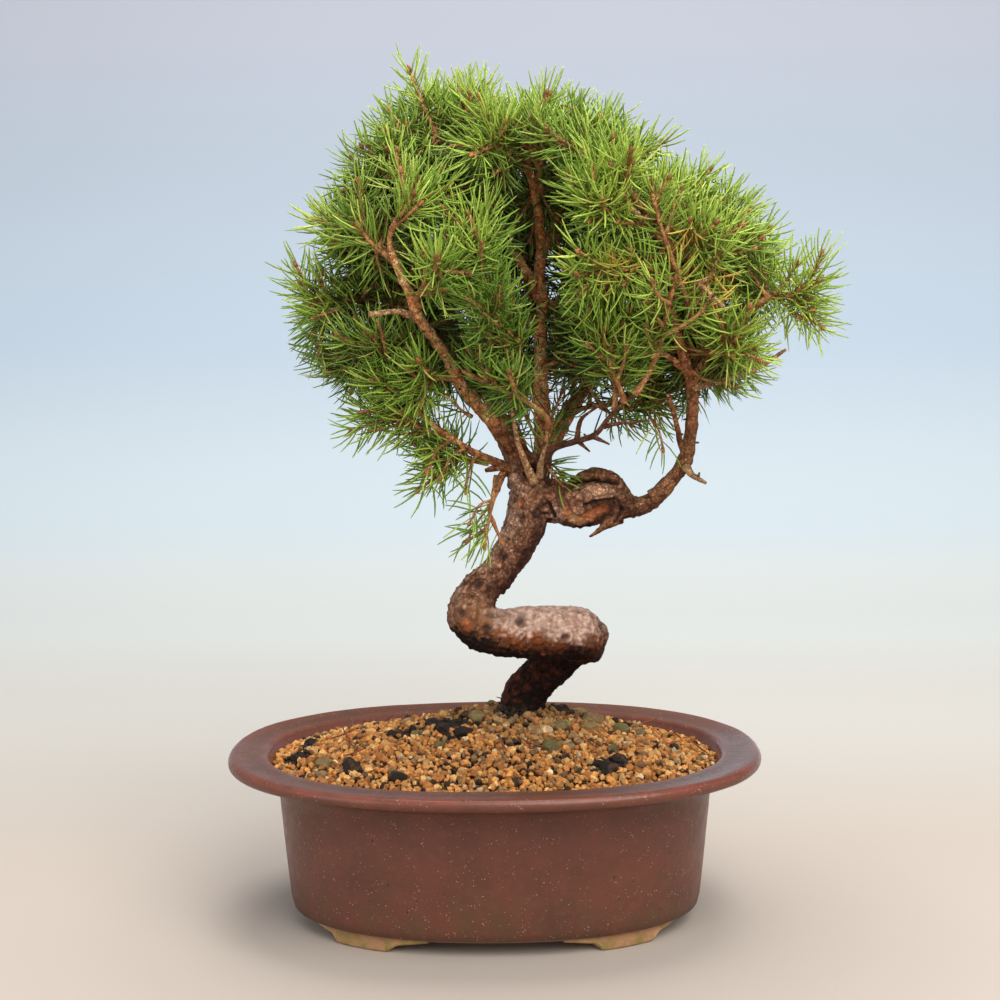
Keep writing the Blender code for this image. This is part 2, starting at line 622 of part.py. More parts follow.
def main_shoot(perch, tip, bend):
    """The four points that steer a spray's main shoot, which leaves square to a limb, or straight on from its end."""
    point, along, radius, is_end = perch
    span = tip - point
    far = float(np.linalg.norm(span))
    way = span / far
    leave = along
    start = point + along * GAP
    if not is_end:
        leave = unit(way - (way @ along) * along)
        start = point + leave * (radius + GAP)
    arrive = unit(0.8 * way + 0.25 * unit(tip - np.array(CROWN_CENTRE)) + np.array((0.0, 0.0, 0.12)))
    ahead = leave * 0.16 * far + (0.14 * far * along if not is_end else 0.16 * far * leave)
    steer = [start, start + ahead + bend * far, tip - arrive * 0.3 * far + bend * far * 0.6, tip]
    points = bezier(*steer, MAIN_STEPS)
    first = unit(points[1] - points[0])
    tilt = math.sqrt(max(0.0, 1.0 - float(first @ leave) ** 2))
    steer[0] = start + leave * SHOOT_BASE_RADIUS * tilt * TILT_SHARE
    return steer


def shoot_is_clear(points, radius, straights, owner):
    """Whether a shoot keeps clear of the rest, leaving out the part where it springs from its perch."""
    ahead = points[1] - points[0]
    skipped = min(0.9, max(0.35, SHOOT_HEEL / float(np.linalg.norm(ahead))))
    first = points[0] + skipped * ahead
    stops = [first, *points[1:]]
    return all(straights.room(a, b, radius, owner) > CLEARANCE for a, b in zip(stops, stops[1:]))


def plan_sprays(lines):
    """The steering points of each spray's main shoot and the ends of its planned side shoots."""
    draw = np.random.default_rng(SEED)
    straights = Straights()
    for line in lines.values():
        straights.add(line[:, :3], line[:, 3], -1)
    places = perches(lines)
    used = []
    sprays = []
    for tip in twig_tips(draw):
        order = sorted(range(len(places)), key=lambda i: perch_cost(places[i], tip))
        found = None
        for i in order[:PERCHES_TRIED]:
            if any(np.linalg.norm(places[i][0] - p) < PERCHES_APART for p in used):
                continue
            for attempt in range(BENDS_TRIED):
                bend = draw.normal(size=3) * BEND_SHARE * (attempt + 1)
                steer = main_shoot(places[i], tip, bend)
                points = bezier(*steer, MAIN_STEPS)
                hides = attempt < BENDS_TRIED - 1 and hides_limb(points[1:])
                if not hides and shoot_is_clear(points, SHOOT_BASE_RADIUS, straights, len(sprays)):
                    found = steer
                    break
            if found is not None:
                used.append(places[i][0])
                break
        if found is None:
            continue
        straights.add(points, np.linspace(SHOOT_BASE_RADIUS, SHOOT_TIP_RADIUS, len(points)), len(sprays))
        sprays.append({"steer": found, "sides": []})
    for number, spray in enumerate(sprays):
        turn = draw.uniform(0.0, math.tau)
        points = bezier(*spray["steer"], MAIN_STEPS)
        reach = 1.0 if points[-1][2] > points[0][2] - HANGING_DROP else HANGING_SIDE_SHOOT
        for share, length in SIDE_SHOOTS:
            for attempt in range(SIDE_SHOOT_TURNS):
                base, ahead = along_line(points, share)
                turn += GOLDEN_ANGLE
                way = unit(0.72 * ahead + 0.68 * across(ahead, turn) + np.array((0.0, 0.0, 0.1)))
                end = base + way * length * reach * (1.0 if attempt < LONG_SIDE_SHOOT_TURNS else SHORT_SIDE_SHOOT)
                hides = attempt < SIDE_SHOOT_TURNS - 2 and hides_limb([end])
                if not hides and straights.room(base, end, SIDE_SHOOT_RADIUS, number) > CLEARANCE:
                    straights.add([base, end], np.array((SIDE_SHOOT_RADIUS, SIDE_SHOOT_RADIUS)), number)
                    spray["sides"].append((base, end))
                    break
    return sprays, straights


def along_line(points, share):
    """The point and the direction at a share of the length of a line of points."""
    spans = np.diff(points, axis=0)
    lengths = np.linalg.norm(spans, axis=1)
    want = share * lengths.sum()
    for start, span, length in zip(points, spans, lengths):
        if want <= length + 1e-9:
            return start + span * want / length, span / length
        want -= length
    return points[-1], unit(spans[-1])


def frames(points):
    """Two unit vectors square to a line of points at each of them, which turn with it and don't twist."""
    spans = np.diff(points, axis=0)
    ahead = [unit(v) for v in (spans[0], *(spans[1:] + spans[:-1]), spans[-1])]
    first = across(ahead[0], 0.0)
    made = []
    for way in ahead:
        first = unit(first - (first @ way) * way)
        made.append((first, np.cross(way, first)))
    return made


def stem(points, first_radius, last_radius, name, collection):
    """A square twig along points. Its flat sides face its frames' two vectors, so that needles stand in their middle."""
    rings = []
    radii = np.linspace(first_radius, last_radius, len(points))
    for point, (first, second), radius in zip(points, frames(points), radii):
        corners = [(1, 1), (-1, 1), (-1, -1), (1, -1)]
        rings.append([point + (a * first + b * second) * radius * math.sqrt(0.5) for a, b in corners])
    return loft(rings, name, collection)


def needle(base, end, collection):
    """A three-sided needle whose root lies inside the twig."""
    bm = bmesh.new()
    span = Vector(end) - Vector(base)
    turn = span.to_track_quat("Z", "Y").to_matrix().to_4x4()
    place = Matrix.Translation((Vector(base) + span / 2) * MM) @ turn
    bmesh.ops.create_cone(bm, cap_ends=True, segments=3, radius1=NEEDLE_ROOT_RADIUS * MM, radius2=0.0,
                          depth=span.length * MM, matrix=place)
    return from_bmesh(bm, "needle", collection)


def place_needles(points, count, from_share, straights, owner, turn, draw):
    """Needles in a spiral round a shoot, leaning further forward towards its tip, bent clear of other sprays."""
    made = []
    sides = frames(points)
    for i in range(count):
        share = from_share + (LAST_NEEDLE - from_share) * (i + 0.5) / count
        base, ahead = along_line(points, share)
        first, second = sides[min(int(share * len(sides)), len(sides) - 1)]
        lean = math.radians(SIDE_LEAN - (SIDE_LEAN - TIP_LEAN) * max(0.0, (share - 0.55) / 0.45) ** 1.5)
        length = NEEDLE_LENGTH * draw.uniform(0.88, 1.06)
        for _ in range(NEEDLE_TURNS):
            turn += GOLDEN_ANGLE
            face = round(turn / (math.pi / 2)) * math.pi / 2 + draw.uniform(-0.15, 0.15)
            outward = math.cos(face) * first + math.sin(face) * second
            way = math.cos(lean) * ahead + math.sin(lean) * unit(outward - (outward @ ahead) * ahead)
            end = base + way * length
            if straights.room(base, end, NEEDLE_ROOT_RADIUS, owner) > CLEARANCE:
                straights.add([base, end], np.array((NEEDLE_ROOT_RADIUS, NEEDLE_ROOT_RADIUS)), owner)
                made.append((base, end))
                break
    return made


def make_spray(number, spray, straights, collection):
    """A main shoot, its side shoots and their needles, joined to one body."""
    draw = np.random.default_rng([SEED, number])
    main = bezier(*spray["steer"], MAIN_STEPS)
    core = stem(main, SHOOT_BASE_RADIUS, SHOOT_TIP_RADIUS, f"spray_{number + 1:02d}", collection)
    rest = []
    stems = [(main, NEEDLES_ON_MAIN, FIRST_ON_MAIN)]
    for base, end in spray["sides"]:
        line = np.array([base, end])
        rest.append(stem(line, SIDE_SHOOT_RADIUS, SIDE_SHOOT_RADIUS, "side", collection))
        stems.append((line, NEEDLES_ON_SIDE, FIRST_ON_SIDE))
    for points, count, from_share in stems:
        turn = draw.uniform(0.0, math.tau)
        for base, end in place_needles(points, count, from_share, straights, number, turn, draw):
            rest.append(needle(base, end, collection))
    combine(core, rest, "UNION")
    return finish_piece(core, "needles")


def main():
    clear_scene()
    collection = new_collection("spruce_bonsai")
    pieces = [make_pot(collection)]
    pieces.append(make_screen("drain_screen_left", -DRAIN_X, collection))
    pieces.append(make_screen("drain_screen_right", DRAIN_X, collection))
    pieces.append(make_soil(collection))
    lines = limb_lines()
    pieces.append(make_wood(lines, collection))
    sprays, straights = plan_sprays(lines)
    for number, spray in enumerate(sprays):
        pieces.append(make_spray(number, spray, straights, collection))
    stand = bpy.data.objects.new("bonsai", None)
    collection.objects.link(stand)
    stand.location = Vector(PLACE) * MM
    for piece in pieces:
        piece.parent = stand


main()
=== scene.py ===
"""The looks of the spruce bonsai: glaze, gravel, bark and needles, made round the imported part.

Lengths are millimetres in the pot's own frame, as in the part's source: the origin is on the ground below
the pot's centre, with +X to the right and -Y to the front. They become metres when a mesh is made. The plan
of the limbs and of the sprays repeats the part's, so that each finer piece keeps the form of the node that it
replaces. Colours are linear.
"""
import math

import bmesh
import bpy
import numpy as np
from mathutils import Matrix, Vector


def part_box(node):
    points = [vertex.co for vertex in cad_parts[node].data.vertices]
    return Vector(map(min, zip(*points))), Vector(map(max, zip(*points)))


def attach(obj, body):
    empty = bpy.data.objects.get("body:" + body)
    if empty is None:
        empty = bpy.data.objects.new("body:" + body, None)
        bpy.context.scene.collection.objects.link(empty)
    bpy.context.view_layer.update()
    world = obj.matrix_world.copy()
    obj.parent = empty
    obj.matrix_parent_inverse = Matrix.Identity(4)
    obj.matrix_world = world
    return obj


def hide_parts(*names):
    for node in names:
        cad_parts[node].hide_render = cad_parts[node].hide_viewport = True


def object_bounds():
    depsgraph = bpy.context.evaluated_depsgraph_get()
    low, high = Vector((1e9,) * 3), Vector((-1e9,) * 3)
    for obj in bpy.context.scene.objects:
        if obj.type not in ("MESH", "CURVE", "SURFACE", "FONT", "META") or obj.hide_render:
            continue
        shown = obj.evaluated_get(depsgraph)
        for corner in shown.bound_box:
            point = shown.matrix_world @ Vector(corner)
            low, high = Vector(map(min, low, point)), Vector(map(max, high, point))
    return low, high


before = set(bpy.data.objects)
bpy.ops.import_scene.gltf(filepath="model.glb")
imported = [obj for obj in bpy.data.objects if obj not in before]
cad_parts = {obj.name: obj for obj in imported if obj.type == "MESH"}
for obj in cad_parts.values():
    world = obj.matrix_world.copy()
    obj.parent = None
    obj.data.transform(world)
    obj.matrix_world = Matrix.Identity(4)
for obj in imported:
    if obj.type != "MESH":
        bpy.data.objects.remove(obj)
cad_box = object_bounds()

MM = 0.001
SEED = 7
GAP = 0.35
POT_LOW, POT_HIGH = (np.array(corner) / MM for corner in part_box("pot"))
PLACE = np.array(((POT_LOW[0] + POT_HIGH[0]) / 2, (POT_LOW[1] + POT_HIGH[1]) / 2, 0.0))

# Pot: the oval at its neck, just under the lip, and outlines as distances out from that oval and heights
NECK_HALF_LENGTH = 104.5
NECK_HALF_WIDTH = 70.5
OVAL_POWER = 2.25
FOOT_HEIGHT = 7.0
FLOOR_TOP = 13.5
RIM_EDGE_RADIUS = 3.1
RIM_EDGE = (21.2, 80.2)
INNER_EDGE_RADIUS = 2.9
INNER_EDGE = (8.0, 79.6)
OUTER_WALL = [
    (-8.0, FOOT_HEIGHT), (-5.4, 8.6), (-4.4, 12.5), (-3.4, 22.0), (-1.8, 38.0), (-0.5, 54.0), (0.4, 64.0),
    (2.6, 69.6), (8.0, 73.6), (16.0, 76.7),
]
LIP_TOP = (14.0, 82.4)
INNER_WALL = [(1.0, 75.5), (-3.8, 69.5), (-6.2, 60.0), (-9.4, 22.0), (-12.0, 16.0), (-16.0, FLOOR_TOP)]
DRAIN_RADIUS = 9.0
DRAIN_SIDES = 12
DRAIN_X = 42.0
FOOT_ANGLE = 51.5
FOOT_HALF_SPAN = 22.0
FOOT_DEPTH = 13.0
FOOT_SINK = 2.0
FOOT_OUTER = -8.0
FOOT_STEPS = [(-1.0, 5.8), (-0.56, 3.8), (-0.45, 0.0), (0.42, 0.0), (0.56, 3.4), (1.0, 5.8)]

# Soil
SOIL_EDGE_HEIGHT = 77.5
SOIL_EDGE_OUT = 2.2
SOIL_SIDE_GAP = 0.5
MOUND_HEIGHT = 14.5
MOUND_OUT = 3.0
TRUNK_MOUND_HEIGHT = 7.0
TRUNK_MOUND_SPREAD = 27.0
STONE_SHAPE = (1.2, 0.9, 0.75)
STONE_LIFT = 0.8

# Stones and lumps that stand out of the gravel: x, y, half size and whether it is a dark lump
STONES = [
    (26, -31, 5.4, False), (33, -8, 5.0, False), (46, -5, 4.6, False), (48, 12, 5.6, False),
    (62, 4, 5.0, False), (-9, 2, 5.0, False), (19, -17, 4.4, False), (-81, -29, 4.4, False),
    (-67, -38, 5.8, True), (-44, -54, 4.6, True), (-23, -9, 5.6, True), (-15, -16, 4.4, True),
    (52, -46, 6.0, True), (58, -37, 4.6, True),
]

# Wood
ROOT_X = 13.0
ROOT_Y = 20.0
ROOT_RADIUS = 14.0
TRUNK_STEP = 8.0
LIMB_STEP = 12.0

# Centre lines of the wood, each point x, y, z and radius. The first point lies inside the wood that bears it.
LIMBS = {
    "trunk": [
        (13, 20, 88, 12.2), (14.7, 20, 102, 11.4), (18.3, 19, 108.8, 10.6), (24.5, 17, 115.8, 10.6),
        (33.5, 13, 126.2, 11.2), (40.2, 8, 132.6, 12.0), (42.8, 1, 137, 12.3), (34.8, -6, 139.9, 12.4),
        (24.6, -10, 140.9, 12.3), (12.6, -13, 141.9, 11.9), (-0.3, -16, 143, 11.4),
        (-9.5, -17, 150, 11.4), (-8, -14.5, 159.2, 10.4), (-3.9, -12, 164.5, 9.3), (2, -10, 169.5, 8.7),
        (8.1, -7, 177.7, 9.1), (12, -5, 184.1, 9.6), (15.4, -3, 192, 10.3), (17.9, -1, 201.4, 10.4),
        (19.2, 0, 209.1, 10.0), (20, 1, 216, 7.6),
    ],
    "gnarl": [
        (19, 0, 207, 9.8), (29, -3, 203, 9.6), (39, -5, 200.5, 10.0), (50, -4, 201.5, 9.2),
        (59, -1, 201.5, 7.4), (66, 0, 200.2, 5.4), (73, 1, 201.4, 4.5), (80, 1, 206.2, 4.0),
        (87.5, 1, 214.5, 3.6), (92.5, -1, 224, 3.4), (94.7, -4, 237.2, 3.0), (94.8, -7, 248.8, 2.9),
        (93.8, -11, 259.4, 2.9), (89.8, -17, 270.8, 2.4), (85.5, -24, 284, 2.2), (82.5, -31, 298, 2.0),
        (82.8, -37, 311, 1.9), (82.5, -41, 320.5, 1.8), (75, -46, 331, 1.6), (64.3, -54, 343.2, 1.4),
    ],
    "gnarl_arch": [
        (31, 5, 203, 5.0), (40, 9, 209, 5.0), (51, 9, 212, 4.9), (58, 6, 210.5, 5.0), (62, 3, 206, 4.8),
        (66, 1, 201, 4.6),
    ],
    "gnarl_roll": [
        (34, -8, 203, 5.0), (43, -10, 205.5, 5.6), (52, -9, 206, 5.6), (60, -5, 204, 5.0),
        (65, -1, 201, 4.5),
    ],
    "stub": [(61, -4, 196, 4.2), (54, -8, 192, 2.9), (46, -11, 187, 1.2)],
    "left_limb": [
        (15.1, -1, 212.6, 8.2), (11.3, -4, 223.5, 5.4), (6.1, -8, 233.4, 4.3), (-0.9, -14, 243.3, 3.6),
        (-10.1, -20, 254, 3.0), (-16.4, -26, 265.5, 2.6), (-21.6, -31, 274.8, 2.4),
        (-27.7, -38, 284.1, 2.3), (-33.5, -45, 295, 2.2), (-36.8, -49, 304.7, 2.0),
        (-40, -53, 312.6, 1.8), (-43.6, -57, 320.9, 1.6),
    ],
    "leader": [
        (20.9, 3, 214, 7.0), (24.5, 8, 227, 4.9), (24.2, 13, 251, 3.8), (23.9, 15, 273, 3.3),
        (24, 14, 294.5, 3.0), (23.5, 9, 317.3, 2.6), (22.9, 2, 334.5, 2.3), (20.5, -6, 350.3, 2.0),
        (16.7, -14, 362.5, 1.8),
    ],
    "right_tier": [
        (94.5, -11, 260, 2.4), (99.5, -14, 270, 1.9), (107, -18.5, 281, 1.7), (123.6, -26, 297, 1.4),
    ],
    "bare_twig": [
        (94.7, -11, 257.9, 2.0), (106.9, -15, 260.4, 1.4), (123.9, -20, 266.5, 1.1),
        (136.1, -24, 275.3, 0.8),
    ],
    "dark_branch": [
        (20.8, -3, 218.5, 4.4), (26.4, -9, 227.6, 2.8), (33.8, -15, 231.8, 2.2), (46.4, -26, 236.3, 2.1),
        (54, -33, 245, 1.7), (65.4, -42, 257.3, 1.3),
    ],
    "dark_stub_a": [(40.1, -20, 234, 1.5), (45.5, -25, 229.3, 0.8)],
    "dark_stub_b": [(46.8, -27, 236.4, 1.5), (53.8, -32, 232.6, 0.8)],
    "tan_twig_a": [
        (19.7, -8, 212.8, 2.7), (14.9, -16, 226.4, 2.0), (11.2, -23, 239.2, 1.6), (8.9, -31, 253.6, 1.4),
        (5.3, -38, 264, 1.2), (0, -48, 280, 1.0),
    ],
    "tan_twig_b": [(22.1, -8, 215.1, 2.1), (23.9, -16, 228.2, 1.6), (25.5, -26, 240.7, 1.2)],
    "low_left": [
        (9.3, -4, 218.7, 3.2), (3.6, -10, 222.1, 2.2), (-12.1, -24, 231, 1.7), (-22.4, -34, 239.3, 1.5),
    ],
    "hanging_twig": [(7.4, -3, 218.6, 2.4), (4.1, -8, 215.3, 1.8), (2.1, -12, 209, 1.6)],
    "red_stub": [(6.5, -7, 220.9, 1.8), (-3, -14, 219.3, 1.0)],
    "cut_twig": [(92.1, -2, 219.8, 2.0), (96, -6, 214.9, 1.3), (101.3, -10, 211.9, 0.8)],
    "back_left": [
        (17, 6, 218, 6.0), (8, 22, 236, 3.8), (-6, 40, 257, 3.0), (-20, 54, 280, 2.5),
        (-34, 64, 300, 2.0), (-47, 70, 318, 1.6),
    ],
    "back_right": [
        (25, 10, 225, 4.6), (41, 28, 248, 3.3), (59, 44, 274, 2.7), (78, 56, 299, 2.1),
        (92, 64, 322, 1.6),
    ],
    "back_top": [
        (24, 15, 285, 3.2), (19, 30, 307, 2.6), (12, 44, 332, 2.2), (5, 54, 354, 1.9), (-3, 58, 375, 1.6),
    ],
    "left_top": [
        (24, 13, 299, 2.8), (14, 5, 317, 2.2), (1, 0, 336, 1.9), (-13, -4, 355, 1.6), (-23, -8, 373, 1.4),
    ],
    "right_top": [(24, 8, 323, 2.5), (36, 12, 344, 2.0), (55, 12, 365, 1.6)],
    "right_back": [(82.6, -37, 315.6, 2.0), (95, -12, 324, 1.8), (106, 5, 331, 1.5)],
    "left_back": [
        (-27.7, -37, 284, 2.2), (-37, -14, 294, 1.9), (-54, 8, 307.4, 1.6), (-71, 20, 321.6, 1.4),
    ],
}

# The share of a limb's length that bears no spray. A limb that isn't here bears none.
BARE_SHARE = {
    "gnarl": 0.62, "left_limb": 0.5, "leader": 0.3, "right_tier": 0.3, "dark_branch": 0.7,
    "tan_twig_a": 0.7, "tan_twig_b": 0.7, "low_left": 0.3, "hanging_twig": 1.0, "back_left": 0.2,
    "back_right": 0.2, "back_top": 0.2, "left_top": 0.25, "right_top": 0.25, "right_back": 0.2,
    "left_back": 0.2,
}

# Limbs that show from the front, and how far in front of them and beside them no shoot grows
SHOWN_LIMBS = ("left_limb", "leader", "gnarl")
SHOWN_WIDTH = 10.0
SHOWN_DEPTH = 5.0

# Ends of the foliage of each spray that shows from the front and the sides. Its twig ends short of that by a
# needle's reach.
NEEDLE_REACH = 15.5
SPRAY_ENDS = [
    (-102, -15, 300), (-84, -10, 336), (-75, -44, 341), (-67, -15, 364), (-70, -34, 279), (-80, 0, 258),
    (-65, -34, 241), (-45, -48, 253), (-35, -26, 213), (-8, -14, 170), (-53, -12, 380), (-40, -64, 360),
    (-38, 0, 400), (-20, 6, 410), (-2, -50, 385), (13, -32, 394), (26, 8, 403), (40, -48, 381),
    (52, 4, 390), (71, -12, 382), (61, -72, 362), (-16, -72, 343), (-25, -86, 315), (-5, -74, 299),
    (10, -62, 279), (-19, -58, 259), (43, -76, 350), (35, -80, 315), (56, -62, 285), (46, -8, 266),
    (79, -68, 357), (100, -14, 359), (118, 2, 341), (101, -62, 335), (124, -24, 322), (92, -78, 312),
    (159, -40, 298), (148, 6, 312), (126, -44, 278), (118, -3, 257), (92, 4, 240), (70, -42, 270),
    (62, 34, 322), (8, 50, 250), (52, 58, 262), (-34, 46, 262), (-72, 12, 320), (-70, 86, 340),
    (110, 80, 341), (-13, 69, 402), (124, 30, 330),
]

# The rounded masses that the foliage fills: centre, then half sizes. Sprays at the back end outside them.
LOBES = [
    ((-26, 8, 340), (68, 78, 60)),
    ((28, 8, 346), (60, 84, 56)),
    ((94, 6, 318), (54, 72, 48)),
    ((-48, 10, 282), (52, 62, 42)),
    ((40, 20, 275), (62, 72, 46)),
    ((98, 14, 270), (40, 52, 36)),
]
BACK_SPRAYS = 3
BACK_FROM_Y = 18.0
BACK_LOWEST_SLOPE = -0.55
BACK_TRIALS = 900
LOBE_EDGE = 0.97
CROWN_CENTRE = (24.0, 0.0, 300.0)

# Sprays. The steps are the shares of a main shoot's curve where its solid has a corner.
MAIN_STEPS = (0.0, 0.22, 0.58, 1.0)
PERCH_STEP = 3.0
PERCHES_APART = 6.5
PERCHES_TRIED = 60
BENDS_TRIED = 4
BEND_SHARE = 0.03
SHORTEST_SHOOT = 24.0
SHOOT_HEEL = 4.5
TILT_SHARE = 0.75
SHOOT_BASE_RADIUS = 1.5
SHOOT_TIP_RADIUS = 1.15
SIDE_SHOOT_RADIUS = 1.2
SIDE_SHOOTS = [(0.45, 27.0), (0.72, 22.0)]
SIDE_SHOOT_TURNS = 14
LONG_SIDE_SHOOT_TURNS = 9
SHORT_SIDE_SHOOT = 0.7
HANGING_SIDE_SHOOT = 0.5
HANGING_DROP = 15.0
CLEARANCE = 0.7
GOLDEN_ANGLE = math.radians(137.508)

# Camera at the photograph's viewing angle
CAMERA_PLACE = (3.5, -812.0, 296.0)
CAMERA_DOWN = 0.113
CAMERA_ROLL = 0.0075
SENSOR_WIDTH = 36.0
FOCAL_LENGTH = 1.7 * SENSOR_WIDTH

# Fine foliage: shares along a main shoot, lengths, and the twigs that fill the inside of the crown
EXTRA_SHARES = (0.26, 0.38, 0.5, 0.6, 0.7, 0.8, 0.9)
EXTRA_LENGTH = 29.0
SHORT_EXTRA = 0.66
EXTRA_TURNS = 8
STEM_STEP = 2.6
SHOOT_ROOT = 2.4
NEEDLE_SPACING = 0.73
NEEDLE_LENGTHS = (13.5, 18.5)
NEEDLE_RADIUS = 0.46
NEEDLE_BEND = 0.24
NEEDLE_ROOM = 9.0

# How far out the needles lean, in degrees, by their distance from the tip of the twig
NEEDLE_LEAN = ((0.0, 2.0, 5.0, 12.0, 20.0), (16.0, 36.0, 58.0, 70.0, 74.0))

# The share of its full length that a needle has, by its share along the twig
NEEDLE_GROWTH = ((0.0, 0.25, 0.8, 1.0), (0.86, 1.0, 0.98, 0.84))

# A needle's thickness along its length, for those that show and for those inside the crown
FINE_NEEDLE = [(0.0, 0.55), (0.3, 1.0), (0.66, 0.95), (0.92, 0.62)]
INNER_NEEDLE = [(0.0, 0.6), (0.6, 1.05)]

# Where the crown's needles are of the finer kind, the hollow in it where painted shade darkens the needles,
# and the colours of needles and twigs. The shaded and lit needle colours are painted shade and painted light.
FINE_FROM_DEPTH = 0.82
FINE_FROM_Y = -45.0
HOLLOW = (6.0, 276.0, 44.0, 56.0)
HOLLOW_SHADE = 0.30
NEEDLE_SHADED = (0.047, 0.098, 0.014)
NEEDLE_GREEN = (0.158, 0.275, 0.030)
NEEDLE_LIT = (0.365, 0.490, 0.070)
NEEDLE_FRESH = (0.580, 0.600, 0.140)
NEEDLE_YELLOW = (0.720, 0.440, 0.085)
NEEDLE_HEEL = (0.300, 0.190, 0.060)
FRESH_NEEDLES = 0.06
TWIG_COLOURS = ((0.250, 0.085, 0.028), (0.600, 0.290, 0.110))
BUD_COLOUR = (0.330, 0.125, 0.045)

# Twigs that fill the crown: tries, share of a mass's depth, limits, distance between ends and lengths
FILL_TRIALS = 2600
FILL_DEPTH = 0.76
FILL_FROM_Z = 264.0
FILL_FROM_Y = -34.0
FILL_APART = 10.5
FILL_LENGTHS = (13.0, 34.0)

# Spots where old needles turn yellow: x, z and size
YELLOW_PATCHES = [(97.0, 303.0, 13.0), (112.0, 365.0, 9.0), (84.0, 322.0, 9.0), (55.0, 312.0, 7.0)]

# Needles are left out this near a shown limb across the view, if they lie at least this far in front of it
SHOWN_APART = 4.2
SHOWN_FRONT = 3.0

# Sparse sprays, by number from 0, and the share of their needles that they keep
SPARSE = {9: 0.5}

# The hanging spray, which grows only to the left, and how far right its needles and its own twigs may reach
HANGING = 9
HANGING_TO = 1.0
HANGING_FROM = 12.0

# Leafy twigs of the finer sprays: spray number from 0, points, radius, bare share, needle spacing, is yellow
LEAFY_TWIGS = [
    (9, [(1.7, -8.0, 216.3), (-0.3, -15.0, 204.6), (-2.7, -20.0, 192.0), (-3.7, -22.0, 184.7)], 1.0, 0.35,
     1.3, False),
    (9, [(0.2, -14.0, 205.5), (-5.9, -19.0, 203.7), (-10.6, -24.0, 196.3)], 0.7, 0.2, 1.6, False),
    (9, [(-0.3, -15.0, 204.6), (-7.9, -16.0, 194.4), (-11.8, -16.0, 186.8)], 0.7, 0.2, 1.5, False),
    (8, [(-10.3, -24.0, 231.9), (-18.5, -30.0, 227.9), (-23.5, -34.0, 219.0)], 0.8, 0.1, 1.1, False),
    (8, [(-6.6, -20.0, 228.8), (-10.3, -26.0, 221.9), (-12.2, -30.0, 212.0)], 0.8, 0.1, 1.3, False),
    (8, [(-17.0, -30.0, 236.2), (-25.2, -36.0, 231.2), (-29.2, -40.0, 222.4)], 0.8, 0.1, 1.1, False),
    (9, [(22.4, 3.0, 224.5), (27.9, -3.0, 217.4), (33.5, -7.0, 210.8)], 0.8, 0.1, 0.9, False),
    (9, [(21.0, 9.0, 216.3), (27.4, 10.0, 220.4), (33.2, 8.0, 216.1)], 0.8, 0.1, 0.9, False),
    (25, [(-9.4, -22.0, 245.3), (-14.6, -26.0, 249.3), (-20.2, -30.0, 255.3)], 0.8, 0.05, 0.8, False),
    (43, [(15.9, 8.0, 229.4), (12.9, 6.0, 237.8), (8.5, 4.0, 247.2)], 0.8, 0.05, 0.9, False),
    (43, [(25.6, 14.0, 232.9), (30.5, 16.0, 240.4), (35.5, 20.0, 248.0)], 0.8, 0.05, 0.9, False),
    (43, [(23.4, 2.0, 228.6), (18.1, -3.0, 240.1), (10.5, -8.0, 254.2)], 0.8, 0.15, 0.8, False),
    (43, [(25.9, 4.0, 236.1), (29.1, 0.0, 244.6), (32.9, -4.0, 254.8)], 0.8, 0.1, 0.8, False),
    (43, [(23.3, 0.0, 223.0), (26.1, -5.0, 230.6), (28.4, -8.0, 240.3)], 0.8, 0.1, 0.9, False),
    (25, [(2.8, -12.0, 240.3), (5.2, -14.0, 248.0), (8.6, -16.0, 258.4)], 0.8, 0.1, 0.8, False),
    (28, [(91.0, -17.0, 268.0), (99.0, -20.0, 262.0), (107.1, -24.0, 260.4), (112.1, -28.0, 258.7)], 0.8,
     0.2, 0.9, False),
    (28, [(75.0, -5.0, 243.5), (79.0, -8.0, 237.6), (80.8, -10.0, 228.8)], 0.7, 0.2, 1.3, False),
    (28, [(83.0, -28.0, 293.2), (72.9, -38.0, 296.9), (65.2, -44.0, 300.5), (57.6, -50.0, 305.8),
     (52.8, -55.0, 312.8)], 1.3, 0.78, 0.5, True),
]

# Bare twigs of the finer wood: points and radius
BARE_TWIGS = {
    "dark_up": [
        (39.7, -19, 234, 1.5), (41, -22, 242.6, 1.4), (43.6, -25, 246.5, 1.2), (52.5, -32, 252.4, 0.8),
    ],
    "dark_out": [(51.7, -30, 240.7, 1.3), (59.6, -35, 242.4, 1.0), (72, -40, 244, 0.7)],
    "gnarl_up": [
        (91.7, -1, 226.4, 1.5), (89.5, -4, 231.5, 1.4), (88.2, -7, 237.4, 1.3), (84.9, -11, 249.1, 1.1),
        (82.7, -14, 254.9, 0.9),
    ],
    "cross": [
        (91.1, -14, 265.1, 1.7), (84, -19, 270.9, 1.6), (77.8, -25, 274.9, 1.5), (70.8, -31, 278.7, 1.4),
        (66.8, -36, 287.9, 1.2), (62.7, -42, 296.9, 0.9),
    ],
    "dead_a": [(84.4, -32, 298.6, 1.1), (88.7, -50, 304.2, 1.0), (94.6, -60, 306.7, 0.8)],
    "dead_b": [(92.3, -57, 305.4, 1.0), (97, -62, 300.1, 0.9), (101.8, -66, 295.3, 0.7)],
    "light_left": [(-31.5, -41, 290.9, 1.5), (-40.4, -50, 294.6, 1.3), (-53.3, -56, 293.4, 1.1)],
}

